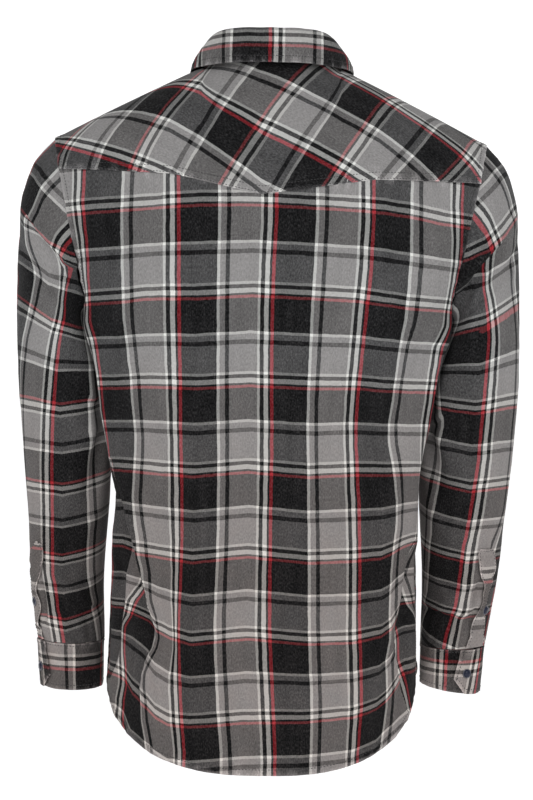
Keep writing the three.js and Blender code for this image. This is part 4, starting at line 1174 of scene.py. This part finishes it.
def cuff_point(arm, turn, down, grown):
    top = float(ring("out_z", RINGS)) - CUFF["gap"]
    middle = float(ring("out_x", RINGS) + ring("in_x", RINGS)) / 2
    half = float(ring("out_x", RINGS) - ring("in_x", RINGS)) / 2
    depth = float(ring("half_depth", RINGS))
    turn = np.radians(turn)
    x = middle + arm["lean"] - CUFF["taper"] * 0.8 * down + (half + grown) * np.cos(turn)
    y = float(ring("mid_y", RINGS)) + (depth + grown) * np.sin(turn)
    z = top - CUFF["height"] * down - float(ring("back_drop", RINGS)) * np.sin(turn)
    return on_side(arm, np.stack([x, y, z], -1))


def make_cuff(name, arm):
    per_mm = math.degrees(1 / float(ring("half_depth", RINGS)))
    first, last = arm["cuff_end"] - CUFF["lap"] * per_mm, arm["cuff_end"] + 360
    turn = np.concatenate([np.linspace(first, last - 30, 76)[:-1], np.linspace(last - 30, last, 13)])[None, :]
    down = np.linspace(0, 1, 18)[:, None]
    lapped = np.clip((turn - (first + 340)) / 20, 0, 1)
    height = CUFF["height"] - np.maximum(CUFF["mitre"] - (last - turn) / per_mm, 0)
    height = height - arm["cuff_rise"] * (1 - np.cos(np.radians(turn))) / 2
    fall = height / CUFF["height"] * down
    points = cuff_point(arm, turn + CUFF["slant"] * (2 * down - 1) * lapped, fall,
                        lapped * (1.8 + 0.9) - CUFF["taper"] * fall)
    u = (CUFF_RED[name] - turn + 0 * down) / per_mm
    v = CUFF_WEFT[name] + arm["weft_runs"] * -1 * fall * CUFF["height"] + 0 * turn
    cuff = Cut(points, np.stack([u, v], -1), inside=(arm["side"] * 212, -41, -650), brown=0.15)
    cuff.roughen(41 + arm["side"], 0.5, 0.3)
    for edge, distance in (("top", 2.5), ("bottom", 5), ("left", 4), ("right", 4)):
        cuff.sew(edge, reach=6, seed=5)
        topstitch(cuff, edge, distance)
    thing = to_object(f"cuff_cloth_{name}", [cuff], 1.5)
    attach(thing, "root")
    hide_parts(f"cuff_{name}")
    return cuff


CUFF_WEFT = {"left": -28, "right": 13}
CUFF_RED = {"left": 160, "right": 104}
cuffs = {name: make_cuff(name, arm) for name, arm in ARMS.items()}


# The sleeve bands: narrow strips sewn over the slits above the cuffs, pointed at the top.

SLEEVE_BAND = {"width": 24, "length": 106, "gap": 1.4, "lift": 2.0}


def order_at(z):
    orders = np.linspace(5, RINGS, 400)
    return np.interp(-z, -ring("out_z", orders), orders)


# The strips twist as they hang, so that their width changes. hind and fore: their edges, in degrees
# from the outer line towards the back.
SLEEVE_BAND_EDGES = {
    "left": table(
        "z hind fore",
        (-522, 48, 38), (-526, 54, 33), (-535, 56, 24), (-548, 56, 20), (-560, 47, 14), (-568, 38, 10),
        (-577, 37, 9), (-586, 42, 12), (-599, 40, 14), (-609, 30, 8), (-616, 31, 6), (-624, 34, 10),
        (-632, 44, 20),
    ),
    "right": table(
        "z hind fore",
        (-520, 62, 48), (-525, 69, 42), (-539, 68, 36), (-551, 64, 37), (-560, 56, 39), (-572, 56, 42),
        (-580, 53, 43), (-586, 56, 43), (-592, 61, 43), (-600, 66, 40), (-617, 67, 32), (-629, 72, 30),
    ),
}
SLEEVE_BAND_WEFT = {"left": -7, "right": -35}


def make_sleeve_band(name, arm):
    foot = float(ring("out_z", RINGS)) + SLEEVE_BAND["gap"]
    down = np.linspace(0, 1, 90)[:, None]
    across = np.linspace(-0.5, 0.5, 17)[None, :]
    z = foot + SLEEVE_BAND["length"] * (1 - down)
    hind, fore = (curve(SLEEVE_BAND_EDGES[name], "z", edge, z) for edge in ("hind", "fore"))
    points = sleeve_point(order_at(z), fore + (hind - fore) * (across + 0.5), arm)
    cloth = np.stack([across * SLEEVE_BAND["width"] - 28.2 + 0 * down,
                      down * SLEEVE_BAND["length"] + 0 * across + SLEEVE_BAND_WEFT[name]], -1)
    band = Cut(on_side(arm, points), cloth, inside=(arm["side"] * 212, -41, -600), brown=0.1)
    # Its hind edge curls up, and where the strip narrows, its cloth stands in a ridge.
    waves = 1 + np.sin(down * 23 + 2 * arm["side"])
    curled = np.clip(across + 0.5, 0, 1) ** 2 * waves * np.clip(down * 6, 0, 1)
    pinched = np.clip(1 - (hind - fore) / 26, 0, 1) * np.cos(math.pi * across)
    ends = np.clip((1 - down) * 8, 0, 1)
    band.raise_by(SLEEVE_BAND["lift"] + (1.1 * curled + 2.4 * pinched) * ends)
    band.raise_by(0.7 * ripple(across * 24, down * 106, 7, 61 + arm["side"]) * ends)
    for edge in ("left", "right", "top"):
        band.sew(edge, reach=3, seed=9)
        topstitch(band, edge, 1.8)
    thing = to_object(f"sleeve_strip_{name}", [band], 1.2)
    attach(thing, "root")
    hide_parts(f"sleeve_band_{name}")
    return band


sleeve_bands = {name: make_sleeve_band(name, arm) for name, arm in ARMS.items()}


# The front band: the strip of the closing, sewn over both front edges from the neck to the tail.

band_across = np.linspace(FRONT_BAND["left"], FRONT_BAND["left"] - FRONT_BAND["width"], 13)
lines = []
for across in band_across:
    far = abs(across)
    fall = np.linspace(0, 1, 40)[:, None]
    column = yoke_half(-1, 1, far, 9, 12)[::-1, 0]
    z = np.linspace(column[-1, 2], HEM[-1], 200)[1:]
    low = on_trunk(-1, np.zeros(199), z, far)[0]
    line = np.concatenate([column, low])
    line[:, 0] = math.copysign(1, across) * np.abs(line[:, 0])
    lines.append(line)
points = with_trunk_folds(np.stack(lines, 1))
down = lengths(points, 0)
cloth = np.stack([30 - points[..., 0], down], -1)
front_strip_cut = Cut(points, cloth)
front_strip_cut.raise_by(np.full(points.shape[:2], FRONT_BAND["lift"]))
for edge in ("left", "right"):
    topstitch(front_strip_cut, edge, 5)
front_strip = to_object("front_strip", [front_strip_cut], 1.2)
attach(front_strip, "root")
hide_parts("front_band")


# The collar: a stand sewn to the neck seam, and a fall that rolls over it.

STAND = {"first": -174, "last": 192, "lap": 24, "gap": 1.8, "inset": 0.985, "snap_up": 0.42}
COLLAR = table(
    "turn fold_x fold_y fold_z edge_x edge_y edge_z",
    (0, 0, 58, 39.5, 0, 76, 0),
    (25, 31, 53, 39.2, 39, 68, 0),
    (50, 56, 38, 37, 69, 46, -1),
    (75, 70, 17, 29, 87, 15, -2),
    (100, 73, -9, 17, 90, -20, -5),
    (125, 65, -37, 1, 86, -62, -22),
    (150, 42, -61, -16, 72, -98, -55),
    (172, 12, -74, -26, 48, -117, -83),
)


def collar_at(name, turn):
    return np.stack([curve(COLLAR, "turn", f"{name}_{axis}", turn) for axis in "xyz"], -1)


turn = np.linspace(STAND["first"], STAND["last"], 150)[None, :]
up = np.linspace(0, 1, 12)[:, None]
at = np.where(turn > 180, 360 - turn, np.abs(turn))
foot = neck(at) * [STAND["inset"], STAND["inset"], 1] + [0, 0, STAND["gap"]]
top = collar_at("fold", at) * [0.965, 0.965, 1] - [0, 0, 6.5]
points = foot * (1 - up[..., None]) + top * up[..., None]
lapped = np.clip((turn - (360 + STAND["first"] - STAND["lap"])) / STAND["lap"], 0, 1)
points[..., 1] -= lapped * (1.8 + 0.6)
points[..., 0] *= np.where((turn < 0) | (turn > 180), -1, 1)
cloth = np.stack([lengths(points, 1), up * -35 + 0 * turn], -1)
stand = Cut(points, cloth, inside=(0, 0, 10))
topstitch(stand, "top", 2.5)
collar_stand = to_object("stand_cloth", [stand], 1.5)
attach(collar_stand, "root")
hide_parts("collar_stand")

# Where the collar's check starts: a red line of the warp beside the middle, and one of the weft
# above the edge.
FALL_CHECK = (2.3, 19.0)
FALL_ROLL = [(1, -5.4), (0.9, -3.0), (0.75, -1.6), (0.4, -0.45), (0, 0), (-0.4, -0.5), (-0.75, -1.8)]
turn = np.linspace(-172, 172, 180)
fold, edge = collar_at("fold", np.abs(turn)), collar_at("edge", np.abs(turn))
out = fold * [1, 1, 0] / np.linalg.norm(fold[:, :2], axis=-1, keepdims=True)
profile = [fold - out * inward * 3.2 + [0, 0, lift] for inward, lift in FALL_ROLL]
for t in np.linspace(0, 1, 18)[1:]:
    profile.append(profile[len(FALL_ROLL) - 1] * (1 - t) + edge * t + out * 3 * math.sin(math.pi * t))
points = np.stack(profile)
points[..., 0] *= np.where(turn < 0, -1, 1)
down = lengths(points, 0)
around = lengths(points, 1)
middle = points.shape[1] // 2
weft = down - down[-1] + FALL_CHECK[1]
cloth = np.stack([around - (around[:, middle - 1] + around[:, middle])[:, None] / 2 - FALL_CHECK[0],
                  np.where(weft < 0, weft * 0.8, weft)], -1)
fall = Cut(points, cloth, inside=(0, 0, -30))
fall.roughen(51, 0.5, 0.3)
for edge in ("bottom", "left", "right"):
    fall.sew(edge, reach=8, seed=6)
    topstitch(fall, edge, 7)
collar_fall = to_object("fall_cloth", [fall], 1.5)
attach(collar_fall, "root")
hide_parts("collar_fall")


# The thread: rows of dark topstitching along the seams, hems and edges.

stitch_points, stitch_faces = [], []
for start, end, normal in sewn:
    along = (end - start) / np.linalg.norm(end - start)
    side = np.cross(normal, along) * STITCH["width"] / 2
    rise = normal * STITCH["lift"]
    base = len(stitch_points)
    quarter = (end - start) * 0.22
    for at in (start + quarter, end - quarter):
        stitch_points += [at + side + rise * 0.2, at + rise * 2.4, at - side + rise * 0.2]
    stitch_points += [start - rise, end - rise]
    a, b, c, d, e, f, g, h = range(base, base + 8)
    stitch_faces += [(a, b, e, d), (b, c, f, e), (g, b, a), (g, c, b), (h, d, e), (h, e, f)]
thread_mesh = bpy.data.meshes.new("thread")
thread_mesh.from_pydata([tuple(p * MM) for p in stitch_points], [], stitch_faces)
thread = bpy.data.objects.new("thread", thread_mesh)
bpy.context.collection.objects.link(thread)
cotton, shader, _ = new_material("thread")
shader.inputs["Base Color"].default_value = (0.030, 0.029, 0.030, 1)
shader.inputs["Roughness"].default_value = 0.75
thread_mesh.materials.append(cotton)
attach(thread, "root")


# The snaps: a glossy dark cap held in a thin bright metal ring, on the front band, the collar
# stand, the cuffs and the sleeve bands.

CAP = [(0, 2.4), (1.4, 2.32), (2.6, 2.05), (3.5, 1.6), (4.1, 1.0), (4.3, 0.5), (4.3, 0.2)]
RING = [(4.2, 0.9), (4.5, 1.25), (4.9, 1.2), (5.2, 0.8), (5.3, 0.2), (5.2, 0)]
AROUND = 32

pearl, shader, _ = new_material("snap_pearl")
shader.inputs["Base Color"].default_value = (0.007, 0.010, 0.028, 1)
shader.inputs["Roughness"].default_value = 0.14
shader.inputs["Specular IOR Level"].default_value = 0.3
steel, shader, _ = new_material("snap_ring")
shader.inputs["Base Color"].default_value = (0.13, 0.13, 0.15, 1)
shader.inputs["Metallic"].default_value = 1
shader.inputs["Roughness"].default_value = 0.3


def turned(name, profile, seat, material):
    around = [2 * math.pi * i / AROUND for i in range(AROUND)]
    points = [seat @ Vector((r * math.cos(t) * MM, r * math.sin(t) * MM, h * MM))
              for r, h in profile for t in around]
    faces = [(j * AROUND + i, (j + 1) * AROUND + i,
              (j + 1) * AROUND + (i + 1) % AROUND, j * AROUND + (i + 1) % AROUND)
             for j in range(len(profile) - 1) for i in range(AROUND)]
    mesh = bpy.data.meshes.new(name)
    mesh.from_pydata(points, [], faces)
    shape = bmesh.new()
    shape.from_mesh(mesh)
    bmesh.ops.remove_doubles(shape, verts=shape.verts, dist=0.00001)
    bmesh.ops.recalc_face_normals(shape, faces=shape.faces)
    shape.to_mesh(mesh)
    shape.free()
    mesh.polygons.foreach_set("use_smooth", np.ones(len(mesh.polygons), bool))
    mesh.materials.append(material)
    thing = bpy.data.objects.new(name, mesh)
    bpy.context.collection.objects.link(thing)
    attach(thing, "root")
    return thing


for node_name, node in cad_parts.items():
    if not node_name.startswith("snap_"):
        continue
    spots = np.array([tuple(node.matrix_world @ vertex.co) for vertex in node.data.vertices])
    middle = spots.mean(axis=0)
    axis = np.linalg.svd(spots - middle)[2][2]
    heights = (spots - middle) @ axis
    # The cap's middle is a single point, and it stands on the outer end.
    reach = np.linalg.norm(spots - middle - heights[:, None] * axis, axis=1)
    tip = heights[reach < 0.001]
    rim = heights[reach > 0.005].mean()
    outward = 1 if np.abs(tip - rim).max() == (tip - rim).max() else -1
    axis = axis * outward
    foot = middle + axis * ((spots - middle) @ axis).min()
    turn = Vector((0, 0, 1)).rotation_difference(Vector(axis)).to_matrix().to_4x4()
    seat = Matrix.Translation(Vector(foot)) @ turn
    if node_name == "snap_cuff_right":
        wrist = Matrix.Translation((-0.212, -0.041, 0.0025))
        seat = (wrist @ Matrix.Rotation(math.radians(-8), 4, "Z")
                @ Matrix.Translation((0.212, 0.041, 0)) @ seat)
    cap = turned(node_name.replace("snap", "cap", 1), CAP, seat, pearl)
    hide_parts(node_name)
    turned(node_name.replace("snap", "ring", 1), RING, seat, steel)
